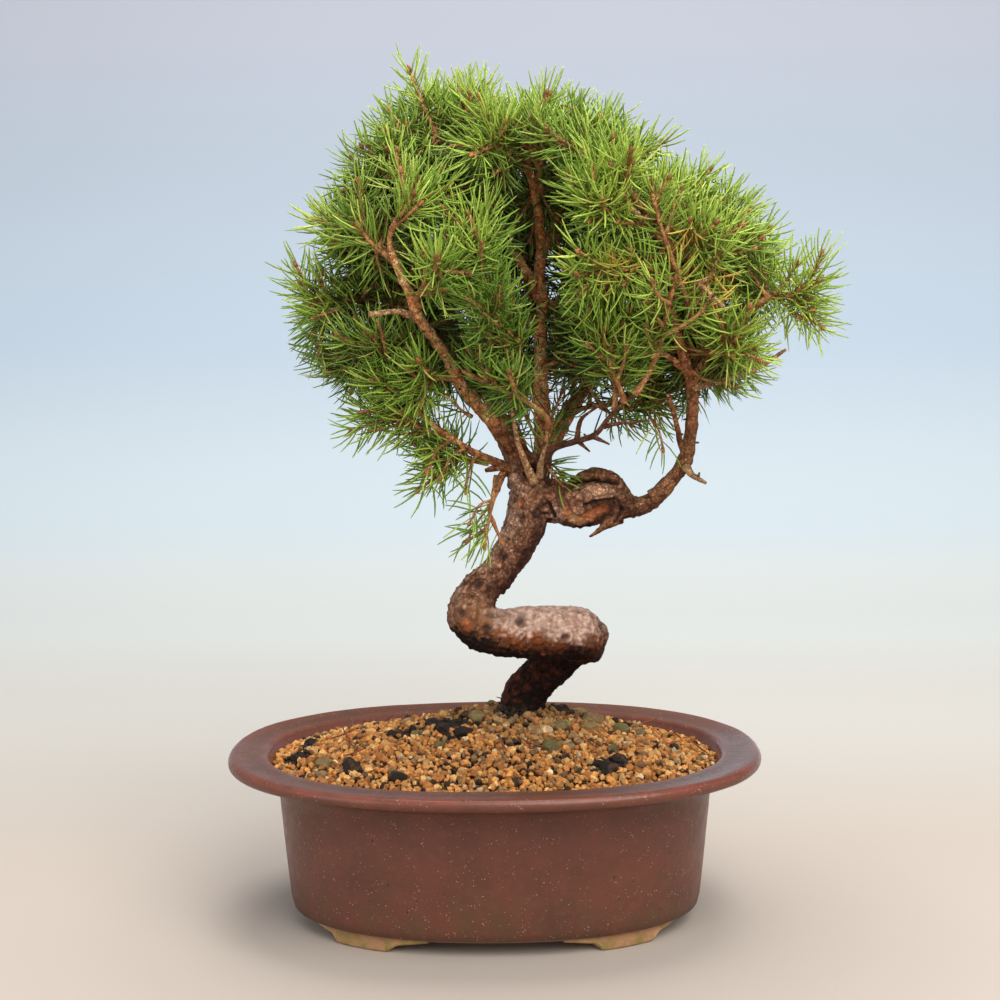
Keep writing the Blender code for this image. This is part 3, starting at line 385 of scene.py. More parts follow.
# Fine pot and soil
POT_SIDES = 176
POT_SHARP_DEGREES = 48.0
WALL_STEP = 4.0
FOOT_FINE_STEPS = 49
FOOT_SOFT = 1.2
BED_SIDES = 120
BED_RINGS = 26
BED_SINK = 1.2
BED_EARTH = ((0.022, 0.011, 0.006), (0.060, 0.029, 0.013))
GRAIN_SPACING = 2.3
GRAIN_HALF_SIZES = (1.05, 1.85)
GRAIN_SCATTER = 0.55
GRAIN_EDGE = 1.6
GRAIN_ROUGHNESS = 0.16
GRAIN_SHARP_DEGREES = 38.0
LOOSE_GRAINS = 420
LOOSE_HALF_SIZES = (1.1, 2.3)
GRAIN_COLOURS = [
    (0.580, 0.255, 0.068), (0.450, 0.170, 0.042), (0.640, 0.360, 0.130), (0.230, 0.125, 0.055),
    (0.040, 0.020, 0.011), (0.660, 0.470, 0.250),
]
GRAIN_SHARES = [0.36, 0.26, 0.16, 0.13, 0.06, 0.03]

# Dark patches of the gravel: x, y and half sizes
DARK_PATCHES = [
    (-22, 1, 17, 8), (-45, -3, 11, 6), (45, 17, 12, 8), (33, 28, 12, 8), (2, 42, 13, 8), (-94, -10, 9, 7),
    (-20, -19, 6, 4), (13, 4, 11, 6), (55, -38, 9, 6), (66, 22, 9, 6), (30, 60, 14, 6), (-40, 55, 14, 6),
]

# Other colours of grains, stones and fallen needles
DULL_GRAIN = (0.120, 0.066, 0.026)
DULL_SPREAD = 30.0
DARK_GRAIN = (0.022, 0.013, 0.008)
DRY_NEEDLES = 22
DRY_NEEDLE_LENGTHS = (11.0, 17.0)
DRY_NEEDLE_RADIUS = 0.5
DRY_NEEDLE_COLOUR = (0.230, 0.068, 0.030)
STONE_COLOURS = [(0.150, 0.098, 0.040), (0.230, 0.125, 0.052), (0.105, 0.076, 0.030)]
PALE_STONE = (0.400, 0.270, 0.145)
PALE_STONE_AT = (24, -15)
STONE_FACETS = 9
BIG_STONE = 3.2
LUMP_COLOURS = ((0.014, 0.009, 0.006), (0.060, 0.030, 0.016))
STONE_MOSS = (0.105, 0.120, 0.022)
MOSS_SPREAD = 40.0

# Smaller stones and crumbs on the gravel: x, y, half size and whether it is a dark lump
SMALL_STONES = [
    (36, -28, 3.0, False), (72, 8, 3.4, False), (-26, -27, 3.0, False), (2, -6, 3.4, False),
    (-90, 8, 3.6, True), (-1, 37, 4.2, False), (16, 1, 3.0, False), (43, 38, 4.2, False),
    (24, -15, 3.6, False), (40, -22, 2.5, False), (-1, -14, 2.4, False), (56, -24, 2.6, False),
    (-81, -40, 3.2, False), (-94, -34, 2.6, False), (-43, 18, 3.6, False), (-48, -5, 3.8, True),
    (-38, -8, 2.6, False), (-22, -20, 2.2, True), (33, 27, 3.8, True), (3, 43, 3.4, True),
    (-30, 4, 4.0, True), (-13, 6, 3.6, True), (-96, -12, 2.8, True), (8, -7, 2.8, False),
    (4, 11, 3.6, True),
]

# Fine wood
THICK_RADIUS = 3.8
ALWAYS_THICK = ("trunk", "gnarl_arch", "gnarl_roll", "stub")
WOOD_VOXEL = 0.66
LIMB_FINE_STEP = 1.3
POINTS_AT_ONCE = 4000
FLAKE_SIZE = 1.7
FLAKE_WARP = 3.2
FLAKE_WARP_SIZE = 2.2
CRACK_WIDTH = 0.16
SPLIT_WIDTH = 0.055
PLATE_SIZE = 5.0
TWISTED = {"gnarl": 1.0, "gnarl_arch": 0.8, "gnarl_roll": 0.9, "stub": 0.7}
STRAND_TWIST = 0.045
ROOTS = [
    [(13, 20, 78, 10.0), (13, 20, 86, 12.6), (13, 20, 95, 12.0)],
    [(13, 20, 93, 7.0), (2, 12, 90, 5.5), (-7, 8, 86.5, 4.0), (-15, 4, 82, 3.0)],
    [(13, 20, 93, 7.0), (22, 10, 90, 5.0), (30, 4, 86.5, 3.6), (37, -1, 82, 2.6)],
    [(13, 20, 93, 7.0), (26, 24, 91, 5.0), (38, 28, 86, 3.4), (46, 31, 81, 2.4)],
    [(13, 20, 93, 7.0), (4, 32, 90, 4.6), (-5, 40, 84, 3.0), (-9, 44, 80, 2.2)],
    [(13, 20, 93, 7.0), (10, 8, 90, 5.0), (8, 0, 86, 3.4), (7, -5, 82, 2.4)],
]

# Where the trunk lies, by how far along its line a point is, and where its leg ends. Other limbs count as
# beside it.
LYING_FROM = (60.0, 72.0)
LYING_TO = (122.0, 140.0)
LEG_TO = (52.0, 68.0)
BESIDE_TRUNK = 180.0

# Knobs and corners of the trunk: x, y, z, size and how far they stand out
KNOBS = [
    (-14.0, -26.0, 159.8, 4.2, 1.6), (-5.0, -24.0, 157.5, 5.2, 2.2), (50.5, -4.0, 149.5, 4.0, 1.4),
    (55.5, -2.0, 138.3, 4.5, 1.3), (50.5, -2.0, 126.5, 4.5, 1.3), (54.0, -2.0, 144.5, 3.5, -0.8),
    (54.0, -2.0, 132.0, 3.5, -0.9), (8.0, -18.0, 150.0, 8.0, -1.0), (9.5, -8.0, 214.8, 5.0, 1.6),
    (50.0, 9.0, 216.0, 10.0, 1.6), (-20.5, -17.0, 149.0, 5.0, 0.9), (22.0, -13.0, 128.6, 6.0, 0.8),
    (-7.0, -22.0, 138.0, 5.0, 1.0),
]

# Marks that show from the front: x, z, half width, half height, how far out, colour, share of the colour. The
# sunken ones are dark with painted shade in their pits.
MARKS = [
    (50.5, 208.5, 9.0, 3.6, 0.5, (0.620, 0.340, 0.200), 0.75),
    (24.0, 204.0, 6.0, 6.0, 0.4, (0.400, 0.170, 0.085), 0.5),
    (12.8, 149.3, 2.2, 3.2, -1.5, (0.050, 0.024, 0.018), 0.9),
    (41.5, 151.8, 2.6, 2.0, -1.1, (0.070, 0.042, 0.030), 0.9),
    (52.0, 144.0, 1.5, 3.6, -0.8, (0.060, 0.030, 0.022), 0.9),
    (33.9, 140.5, 2.0, 1.7, -0.9, (0.040, 0.018, 0.012), 0.9),
    (46.5, 137.5, 2.4, 3.0, -0.6, (0.110, 0.045, 0.026), 0.8),
    (-14.0, 159.8, 3.0, 2.5, 0.3, (0.300, 0.130, 0.050), 0.7),
    (-5.0, 157.2, 4.2, 3.2, 0.3, (0.280, 0.135, 0.060), 0.7),
    (-12.5, 147.5, 3.0, 3.2, 0.2, (0.420, 0.120, 0.035), 0.8),
    (-6.8, 167.3, 2.2, 2.0, -0.9, (0.045, 0.022, 0.016), 0.9),
    (-14.5, 153.5, 2.5, 2.0, -0.7, (0.050, 0.022, 0.014), 0.8),
    (0.5, 152.0, 5.0, 1.3, -0.5, (0.070, 0.036, 0.022), 0.7),
    (13.5, 204.0, 2.2, 1.5, 0.2, (0.450, 0.140, 0.040), 0.8),
    (-3.0, 146.0, 3.0, 3.0, -0.4, (0.035, 0.014, 0.010), 0.8),
    (21.0, 199.0, 2.0, 3.4, -0.8, (0.050, 0.022, 0.014), 0.8),
    (14.0, 196.0, 1.6, 3.0, -0.7, (0.060, 0.030, 0.020), 0.8),
    (25.0, 203.5, 2.6, 2.4, -0.8, (0.060, 0.026, 0.018), 0.8),
    (5.0, 179.0, 2.2, 1.6, -0.6, (0.070, 0.034, 0.022), 0.7),
    (12.0, 188.0, 1.8, 2.6, -0.5, (0.080, 0.040, 0.026), 0.7),
]

# Open scars and crevices on the gnarled limb: x, z and colour of each corner, half width, how far out and
# how smooth. The crevices' near black is painted shade in the gaps; the scar's orange-red is the wood's own.
SCARS = [
    ([(43.5, 203.0, 0.110, 0.048, 0.030), (50.0, 204.6, 0.050, 0.022, 0.014),
     (57.5, 205.4, 0.070, 0.030, 0.019)], 0.9, -1.3, 0.1),
    ([(37.0, 209.6, 0.070, 0.032, 0.019), (48.0, 212.4, 0.034, 0.016, 0.010),
     (60.0, 211.4, 0.060, 0.028, 0.017)], 0.9, -1.1, 0.1),
    ([(31.5, 210.0, 0.210, 0.075, 0.042), (33.6, 203.0, 0.200, 0.070, 0.045),
     (35.4, 198.4, 0.420, 0.145, 0.055), (38.6, 196.4, 0.640, 0.370, 0.170),
     (41.5, 195.8, 0.480, 0.200, 0.085), (47.0, 198.0, 0.440, 0.140, 0.055),
     (53.5, 201.4, 0.330, 0.090, 0.035)], 2.3, -1.1, 0.6),
    ([(59.0, 206.0, 0.110, 0.050, 0.030), (62.0, 199.0, 0.060, 0.026, 0.016),
     (58.0, 194.0, 0.070, 0.028, 0.017)], 0.9, -0.8, 0.1),
    ([(27.0, 203.0, 0.060, 0.024, 0.014), (29.5, 197.5, 0.040, 0.016, 0.010)], 1.0, -0.5, 0.1),
]

# Limbs that are drawn slimmer, and those with a colour of their own
SLIM_TWIGS = ("tan_twig_a", "tan_twig_b", "dark_branch", "dark_stub_a", "dark_stub_b", "dark_up", "dark_out")
TAN_LIMBS = ("tan_twig_a", "tan_twig_b", "cut_twig", "bare_twig", "dead_a", "dead_b", "light_left")
DARK_LIMBS = ("dark_branch", "dark_stub_a", "dark_stub_b", "dark_up", "dark_out")

# Bark colours, most of them two that noise mixes. The tints multiply what is there. Some are painted light
# and painted shade, as noted beside them.
BARK_BROWN = ((0.105, 0.033, 0.013), (0.470, 0.225, 0.130))
BARK_GOLD = (0.23, 0.120, 0.040)
# Painted light on faces turned to the left, and painted shade on faces turned right and down
BARK_LIT = (0.640, 0.385, 0.270)
BARK_SHADED = ((0.030, 0.006, 0.0022), (0.088, 0.023, 0.008))
# Rust colours; the darker second one goes on faces turned down, partly as painted shade
BARK_RUST = ((0.190, 0.050, 0.012), (0.030, 0.005, 0.002))
BEND_TINT = (0.35, 1.20, 3.00)
BARK_PALE = ((0.345, 0.195, 0.140), (0.600, 0.405, 0.310))
# Near black under the lying trunk and its bend: partly the bark's own colour, partly painted shade
UNDER_TRUNK = (0.013, 0.0035, 0.002)
UNDER_BEND = (0.010, 0.004, 0.003)
BARK_LEG = ((0.010, 0.0022, 0.001), (0.130, 0.028, 0.009))
# Reddish thin limbs; the second pair, for those higher in the crown, is brighter as painted light
LIMB_LOW = ((0.300, 0.100, 0.036), (0.700, 0.320, 0.135))
LIMB_HIGH = ((0.520, 0.185, 0.070), (0.800, 0.370, 0.170))
# Painted light that lightens the leader, which lies in the crown's shade
LEADER_PAINTED_LIGHT = (1.9, 1.6, 1.45)
BRIGHTEST = 0.9
BARK_MOSS = (0.060, 0.065, 0.014)
# Painted shade in the creases
CREASE_SHADE = (0.024, 0.008, 0.005)
FLAKE_GOLD = (0.34, 0.120, 0.034)
FLAKE_PALE = (0.62, 0.43, 0.32)
TAN_TWIG = (0.62, 0.37, 0.19)
DARK_TWIG = (0.105, 0.042, 0.026)
STUB_COLOUR = (0.17, 0.085, 0.05)

# Colours of the glaze, the bare clay and the screens, and the size of the glaze's specks and pits
GLAZE_BROWN = ((0.126, 0.037, 0.021), (0.090, 0.030, 0.017))
GLAZE_SPOT = (0.150, 0.046, 0.028)
GLAZE_OLIVE = (0.082, 0.046, 0.017)
GLAZE_RIM = ((0.070, 0.024, 0.010), (0.092, 0.032, 0.013))
GLAZE_THIN = (0.165, 0.036, 0.018)
GLAZE_SPECK = (0.42, 0.28, 0.20)
GLAZE_PIT = (0.02, 0.010, 0.008)
SPECK_SPACING = 1.6
PIT_SPACING = 9.0
PIT_SIZE = 0.06
CLAY = ((0.47, 0.255, 0.120), (0.30, 0.215, 0.065))
CLAY_STAIN = (0.14, 0.085, 0.040)
SCREEN_BLACK = ((0.012, 0.012, 0.013), (0.035, 0.035, 0.037))

# Skins that show their own tint: roughness, specular level, the noise that mottles them (size, detail and
# roughness), its range and the shades that this gives, the noise of the relief, and how high the relief is
SKINS = {
    "needle_skin": (0.5, 0.28, (1.1, 3.0, 0.6), (0.35, 0.65, 0.82, 1.18), None, 0.0),
    "twig_bark": (0.75, 0.3, (0.9, 5.0, 0.6), (0.35, 0.7, 0.45, 1.35), (0.9, 5.0, 0.6), 0.5),
    "bud_scales": (0.6, 0.35, (0.7, 4.0, 0.6), (0.35, 0.65, 0.55, 1.4), (0.7, 4.0, 0.6), 0.3),
    "gravel_grain": (0.88, 0.25, (1.2, 5.0, 0.7), (0.3, 0.7, 0.68, 1.25), (0.6, 4.0, 0.7), 0.4),
}

# Stage and light: lengths in millimetres, lamp places and sizes in metres, lamp power in watts
STAGE_HALF_WIDTH = 4000.0
STAGE_FRONT = 3000.0
STAGE_BACK = 1500.0
STAGE_BEND = 700.0
STAGE_HEIGHT = 3500.0
STAGE_BEND_STEPS = 24
STAGE_FLOOR = (0.404, 0.350, 0.303)

# How the stage is shaded: an axis, the metres along it from and to which the colour changes, the new colour
STAGE_SHADES = [("Y", 0.05, 0.45, (0.436, 0.419, 0.383)), ("Y", 0.45, 0.80, (0.471, 0.488, 0.468)),
                ("Z", 0.00, 0.06, (0.427, 0.482, 0.507)), ("Z", 0.06, 0.28, (0.356, 0.418, 0.482)),
                ("Z", 0.28, 0.50, (0.352, 0.396, 0.458)), ("Z", 0.50, 0.72, (0.390, 0.405, 0.463))]

# Lamps: name, place, size, power and colour
LIGHTS = [
    ("key", (0.75, -1.35, 1.65), 1.9, 50.0, (1.0, 0.98, 0.93)),
    ("fill", (-1.5, -1.3, 0.9), 1.5, 9.0, (0.96, 0.98, 1.0)),
    ("top", (0.1, 0.25, 1.9), 1.2, 29.0, (1.0, 0.99, 0.97)),
]
WORLD_COLOUR = (0.93, 0.95, 1.0)
WORLD_STRENGTH = 0.80


def oval_point(out, angle):
    """A point of the oval that lies the distance out from the pot's neck."""
    c, s = math.cos(angle), math.sin(angle)
    power = 2.0 / OVAL_POWER
    x = (NECK_HALF_LENGTH + out) * math.copysign(abs(c) ** power, c)
    y = (NECK_HALF_WIDTH + out) * math.copysign(abs(s) ** power, s)
    return x, y


def oval_ring(out, height, sides):
    points = [oval_point(out, math.tau * i / sides) for i in range(sides)]
    return [(x, y, height) for x, y in points]


def arc(centre, radius, first_degrees, last_degrees, steps):
    """Outline points on an arc, first and last included."""
    made = []
    for i in range(steps + 1):
        a = math.radians(first_degrees + (last_degrees - first_degrees) * i / steps)
        made.append((centre[0] + radius * math.cos(a), centre[1] + radius * math.sin(a)))
    return made


def near_trunk(x, y, spread):
    """1 at the foot of the trunk, falling off smoothly over the given distance."""
    return math.exp(-((x - ROOT_X) ** 2 + (y - ROOT_Y) ** 2) / (2.0 * spread ** 2))


def soil_height(x, y):
    """The mound: a low dome over the whole pot and a steeper one round the trunk."""
    reach = (x / (NECK_HALF_LENGTH + MOUND_OUT)) ** 2 + (y / (NECK_HALF_WIDTH + MOUND_OUT)) ** 2
    dome = MOUND_HEIGHT * max(0.0, 1.0 - reach)
    return SOIL_EDGE_HEIGHT + dome + TRUNK_MOUND_HEIGHT * near_trunk(x, y, TRUNK_MOUND_SPREAD)


def smooth_line(points, step):
    """Points, about a step apart, on a smooth curve through the given points, with their radii."""
    p = np.array(points, float)
    p = np.vstack([2 * p[0] - p[1], p, 2 * p[-1] - p[-2]])
    made = []
    for i in range(1, len(p) - 2):
        a, b, c, d = p[i - 1], p[i], p[i + 1], p[i + 2]
        count = max(1, round(float(np.linalg.norm((c - b)[:3])) / step))
        for k in range(count):
            t = k / count
            made.append(0.5 * (2 * b + (c - a) * t + (2 * a - 5 * b + 4 * c - d) * t * t
                               + (3 * b - a - 3 * c + d) * t ** 3))
    made.append(p[-2])
    return np.array(made)


def limb_lines():
    """Each limb's centre line, with the points closer together where the wood is thick and bends hard."""
    made = {}
    for name, points in LIMBS.items():
        made[name] = smooth_line(points, TRUNK_STEP if name == "trunk" else LIMB_STEP)
    return made


class Straights:
    """A growing table of straight pieces of wood, shoot and needle, with the spray that each belongs to."""

    def __init__(self):
        self.start = np.zeros((0, 3))
        self.end = np.zeros((0, 3))
        self.radius = np.zeros(0)
        self.owner = np.zeros(0, int)

    def add(self, points, radii, owner):
        points = np.asarray(points, float)
        self.start = np.vstack([self.start, points[:-1]])
        self.end = np.vstack([self.end, points[1:]])
        self.radius = np.append(self.radius, np.maximum(radii[:-1], radii[1:]))
        self.owner = np.append(self.owner, np.full(len(points) - 1, owner))

    def room(self, a, b, radius, owner):
        """The least free space between one more straight piece and what other sprays and the wood hold."""
        d1 = b - a
        d2 = self.end - self.start
        r = a - self.start
        aa = max(float(d1 @ d1), 1e-9)
        ee = np.maximum((d2 * d2).sum(1), 1e-9)
        f = (d2 * r).sum(1)
        c = r @ d1
        bb = d2 @ d1
        below = aa * ee - bb * bb
        s = np.where(below > 1e-9, np.clip((bb * f - c * ee) / np.maximum(below, 1e-9), 0, 1), 0.0)
        t = np.clip((bb * s + f) / ee, 0, 1)
        s = np.clip((bb * t - c) / aa, 0, 1)
        apart = np.linalg.norm(r + s[:, None] * d1 - t[:, None] * d2, axis=1)
        free = apart - self.radius - radius
        return float(free[self.owner != owner].min())


def unit(v):
    return v / max(float(np.linalg.norm(v)), 1e-9)


def across(direction, angle):
    """A unit vector at right angles to the direction, turned about it by the angle."""
    helper = np.array((0.0, 0.0, 1.0)) if abs(direction[2]) < 0.9 else np.array((1.0, 0.0, 0.0))
    first = unit(np.cross(helper, direction))
    second = np.cross(direction, first)
    return math.cos(angle) * first + math.sin(angle) * second


def twig_tips(draw):
    """The tip of each spray's twig. Those at the back are as far from all the others as they can be."""
    found = []
    while len(found) < BACK_TRIALS:
        centre, half = (np.array(v, float) for v in LOBES[draw.integers(len(LOBES))])
        way = unit(draw.normal(size=3))
        point = centre + way * half
        depths = [float(np.sum(((point - np.array(c)) / np.array(h)) ** 2)) for c, h in LOBES]
        if point[1] > BACK_FROM_Y and way[2] > BACK_LOWEST_SLOPE and min(depths) > LOBE_EDGE:
            found.append(point)
    ends = [np.array(t, float) for t in SPRAY_ENDS]
    for _ in range(BACK_SPRAYS):
        gaps = [min(float(np.linalg.norm(p - t)) for t in ends) for p in found]
        ends.append(found[int(np.argmax(gaps))])
    return [end - NEEDLE_REACH * unit(end - np.array(CROWN_CENTRE)) for end in ends]


def hides_limb(points):
    """Whether any of the points lies close in front of a limb that shows from the front."""
    for name in SHOWN_LIMBS:
        limb = smooth_line(LIMBS[name], 6.0)
        for x, y, z in points:
            near = np.hypot(limb[:, 0] - x, limb[:, 2] - z) < SHOWN_WIDTH
            if np.any(near & (limb[:, 1] - SHOWN_DEPTH > y)):
                return True
    return False


def perches(lines):
    """Places where a spray may start: point, direction of the limb, radius, whether it is the limb's end."""
    made = []
    for name, share in BARE_SHARE.items():
        fine = smooth_line(LIMBS[name], PERCH_STEP)
        first = int(share * len(fine))
        for i in range(first, len(fine) - 2):
            made.append((fine[i][:3], unit(fine[i + 1][:3] - fine[i - 1][:3]), fine[i][3], False))
        made.append((fine[-1][:3], unit(lines[name][-1][:3] - lines[name][-2][:3]), fine[-1][3], True))
    return made


def perch_cost(perch, tip):
    """How unnatural it would be for the spray with that tip to start there. Low is good."""
    point, along, _, is_end = perch
    span = tip - point
    far = float(np.linalg.norm(span))
    way = span / max(far, 1e-9)
    outward = unit(point - np.array(CROWN_CENTRE))
    cost = far + 22.0 * (1.0 - float(way @ along)) + 14.0 * max(0.0, -float(way @ outward))
    if is_end:
        cost += -24.0 if way @ along > 0.5 else 400.0
    if far < SHORTEST_SHOOT:
        cost += 6.0 * (SHORTEST_SHOOT - far)
    return cost


def bezier(a, b, c, d, shares):
    t = np.array(shares)[:, None]
    return (1 - t) ** 3 * a + 3 * (1 - t) ** 2 * t * b + 3 * (1 - t) * t * t * c + t ** 3 * d


def main_shoot(perch, tip, bend):
    """The four points that steer a main shoot. It leaves square to a limb, or straight on from its end."""
    point, along, radius, is_end = perch
    span = tip - point
    far = float(np.linalg.norm(span))
    way = span / far
    leave = along
    start = point + along * GAP
    if not is_end:
        leave = unit(way - (way @ along) * along)
        start = point + leave * (radius + GAP)
    arrive = unit(0.8 * way + 0.25 * unit(tip - np.array(CROWN_CENTRE)) + np.array((0.0, 0.0, 0.12)))
    ahead = leave * 0.16 * far + (0.14 * far * along if not is_end else 0.16 * far * leave)
    steer = [start, start + ahead + bend * far, tip - arrive * 0.3 * far + bend * far * 0.6, tip]
    points = bezier(*steer, MAIN_STEPS)
    first = unit(points[1] - points[0])
    tilt = math.sqrt(max(0.0, 1.0 - float(first @ leave) ** 2))
    steer[0] = start + leave * SHOOT_BASE_RADIUS * tilt * TILT_SHARE
    return steer


def shoot_is_clear(points, radius, straights, owner):
    """Whether a shoot keeps clear of the rest, leaving out the part where it springs from its perch."""
    ahead = points[1] - points[0]
    skipped = min(0.9, max(0.35, SHOOT_HEEL / float(np.linalg.norm(ahead))))
    first = points[0] + skipped * ahead
    stops = [first, *points[1:]]
    return all(straights.room(a, b, radius, owner) > CLEARANCE for a, b in zip(stops, stops[1:]))


def along_line(points, share):
    """The point and the direction at a share of the length of a line of points."""
    spans = np.diff(points, axis=0)
    lengths = np.linalg.norm(spans, axis=1)
    want = share * lengths.sum()
    for start, span, length in zip(points, spans, lengths):
        if want <= length + 1e-9:
            return start + span * want / length, span / length
        want -= length
    return points[-1], unit(spans[-1])


def plan_sprays(lines):
    """The steering points of each spray's main shoot and the ends of its planned side shoots."""
    draw = np.random.default_rng(SEED)
    straights = Straights()
    for line in lines.values():
        straights.add(line[:, :3], line[:, 3], -1)
    places = perches(lines)
    used = []
    sprays = []
    for tip in twig_tips(draw):
        order = sorted(range(len(places)), key=lambda i: perch_cost(places[i], tip))
        found = None
        for i in order[:PERCHES_TRIED]:
            if any(np.linalg.norm(places[i][0] - p) < PERCHES_APART for p in used):
                continue
            for attempt in range(BENDS_TRIED):
                bend = draw.normal(size=3) * BEND_SHARE * (attempt + 1)
                steer = main_shoot(places[i], tip, bend)
                points = bezier(*steer, MAIN_STEPS)
                hides = attempt < BENDS_TRIED - 1 and hides_limb(points[1:])
                if not hides and shoot_is_clear(points, SHOOT_BASE_RADIUS, straights, len(sprays)):
                    found = steer
                    break
            if found is not None:
                used.append(places[i][0])
                break
        if found is None:
            continue
        straights.add(points, np.linspace(SHOOT_BASE_RADIUS, SHOOT_TIP_RADIUS, len(points)), len(sprays))
        sprays.append({"steer": found, "sides": []})
    for number, spray in enumerate(sprays):
        turn = draw.uniform(0.0, math.tau)
        points = bezier(*spray["steer"], MAIN_STEPS)
        reach = 1.0 if points[-1][2] > points[0][2] - HANGING_DROP else HANGING_SIDE_SHOOT
        for share, length in SIDE_SHOOTS:
            for attempt in range(SIDE_SHOOT_TURNS):
                base, ahead = along_line(points, share)
                turn += GOLDEN_ANGLE
                way = unit(0.72 * ahead + 0.68 * across(ahead, turn) + np.array((0.0, 0.0, 0.1)))
                size = 1.0 if attempt < LONG_SIDE_SHOOT_TURNS else SHORT_SIDE_SHOOT
                end = base + way * length * reach * size
                hides = attempt < SIDE_SHOOT_TURNS - 2 and hides_limb([end])
                if not hides and straights.room(base, end, SIDE_SHOOT_RADIUS, number) > CLEARANCE:
                    straights.add([base, end], np.array((SIDE_SHOOT_RADIUS, SIDE_SHOOT_RADIUS)), number)
                    spray["sides"].append((base, end))
                    break
    return sprays


class Noise:
    """Smooth random values between -1 and 1 in space, from a lattice of random numbers that repeats."""

    def __init__(self, seed, size=40):
        self.lattice = np.random.default_rng(seed).uniform(-1.0, 1.0, (size, size, size))
        self.size = size

    def __call__(self, points, scale):
        place = np.asarray(points, float) / scale
        cell = np.floor(place).astype(int)
        part = place - cell
        part = part * part * (3.0 - 2.0 * part)
        total = np.zeros(len(place))
        for corner in range(8):
            step = np.array((corner & 1, corner >> 1 & 1, corner >> 2 & 1))
            weight = np.prod(np.where(step, part, 1.0 - part), axis=1)
            x, y, z = ((cell + step) % self.size).T
            total += weight * self.lattice[x, y, z]
        return total

    def layers(self, points, scale, count):
        """Several scales of noise, each half as large and half as strong as the one before."""
        return sum(self(points, scale / 2 ** i) / 2 ** i for i in range(count))


NOISE = Noise(SEED)


def ramp(values, low, high):
    """0 below low, 1 above high and smooth between them."""
    t = np.clip((np.asarray(values, float) - low) / (high - low), 0.0, 1.0)
    return t * t * (3.0 - 2.0 * t)


def blend(a, b, share):
    """Colours between a and b, by a share for each point."""
    share = np.asarray(share, float)[..., None]
    return np.asarray(a, float) * (1.0 - share) + np.asarray(b, float) * share


def move_points(mesh, points):
    """Sets a mesh's points, which are given in the pot's frame."""
    mesh.vertices.foreach_set("co", ((np.asarray(points) + PLACE) * MM).astype(np.float32).ravel())


def mesh_points(mesh):
    """A mesh's points in the pot's frame."""
    place = np.zeros(len(mesh.vertices) * 3, np.float32)
    mesh.vertices.foreach_get("co", place)
    return place.reshape(-1, 3) / MM - PLACE


def mesh_normals(mesh):
    facing = np.zeros(len(mesh.vertices) * 3, np.float32)
    mesh.vertex_normals.foreach_get("vector", facing)
    return facing.reshape(-1, 3)


def apply_modifiers(piece):
    """Gives the piece the mesh that its modifiers make, and returns it."""
    graph = bpy.context.evaluated_depsgraph_get()
    mesh = bpy.data.meshes.new_from_object(piece.evaluated_get(graph))
    piece.modifiers.clear()
    piece.data = mesh
    return mesh


def add_object(name, points, faces, materials, face_material=None, colours=None):
    """An object from arrays: points in the pot's frame, and arrays of faces that list each one's corners."""
    mesh = bpy.data.meshes.new(name)
    rows = [np.asarray(f, int) for f in faces if len(f)]
    corners = np.concatenate([row.ravel() for row in rows])
    sizes = np.concatenate([np.full(len(row), row.shape[1]) for row in rows])
    mesh.vertices.add(len(points))
    move_points(mesh, points)
    mesh.loops.add(len(corners))
    mesh.loops.foreach_set("vertex_index", corners.astype(np.int32))
    mesh.polygons.add(len(sizes))
    mesh.polygons.foreach_set("loop_start", (np.cumsum(sizes) - sizes).astype(np.int32))
    if face_material is not None:
        mesh.polygons.foreach_set("material_index", np.asarray(face_material, np.int32))
    for item in materials:
        mesh.materials.append(item)
    if colours is not None:
        layer = mesh.attributes.new("tint", "FLOAT_COLOR", "POINT")
        rgba = np.ones((len(points), 4), np.float32)
        rgba[:, :3] = colours
        layer.data.foreach_set("color", rgba.ravel())
    mesh.polygons.foreach_set("use_smooth", np.full(len(sizes), True))
    mesh.update(calc_edges=True)
    mesh.validate()
    piece = bpy.data.objects.new(name, mesh)
    bpy.context.scene.collection.objects.link(piece)
    return piece


def add_piece(name, slot, replaced, *arrays, **options):
    """An object that rides on the part's one body and stands for a node, which it hides.

    Its slot argument is not used.
    """
    piece = add_object(name, *arrays, **options)
    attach(piece, "root")
    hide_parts(replaced)
    return piece


class Batch:
    """Gathers many small shapes into one piece."""

    def __init__(self):
        self.points = []
        self.faces = []
        self.colours = []
        self.slots = []
        self.count = 0

    def add(self, points, faces, colours, slot=0):
        """Faces are lists of rows of 3 or of 4 corners; colours is one colour or one for each point."""
        self.points.append(points)
        self.colours.append(np.broadcast_to(colours, (len(points), 3)))
        for rows in faces:
            if len(rows):
                self.faces.append(np.asarray(rows, int) + self.count)
                self.slots.append(np.full(len(rows), slot))
        self.count += len(points)

    def make(self, name, slot, replaced, materials):
        return add_piece(name, slot, replaced, np.concatenate(self.points), self.faces, materials,
                         np.concatenate(self.slots), np.concatenate(self.colours))


def grid_faces(rings, sides):
    """Four-cornered faces between rings of points that lie one after another."""
    i = np.arange(rings - 1)[:, None] * sides
    j = np.arange(sides)[None, :]
    k = (j + 1) % sides
    return np.stack([i + j, i + k, i + sides + k, i + sides + j], -1).reshape(-1, 4)


def fan_faces(ring_start, sides, centre, flip=False):
    j = np.arange(sides)
    k = (j + 1) % sides
    rows = np.stack([ring_start + j, ring_start + k, np.full(sides, centre)], -1)
    return rows[:, ::-1] if flip else rows


def capped_faces(rings, sides):
    """Faces between rings of points that lie one after another, and one flat face at each end."""
    first = np.arange(sides)[None, ::-1]
    last = (np.arange(sides) + (rings - 1) * sides)[None]
    return [grid_faces(rings, sides), first, last]


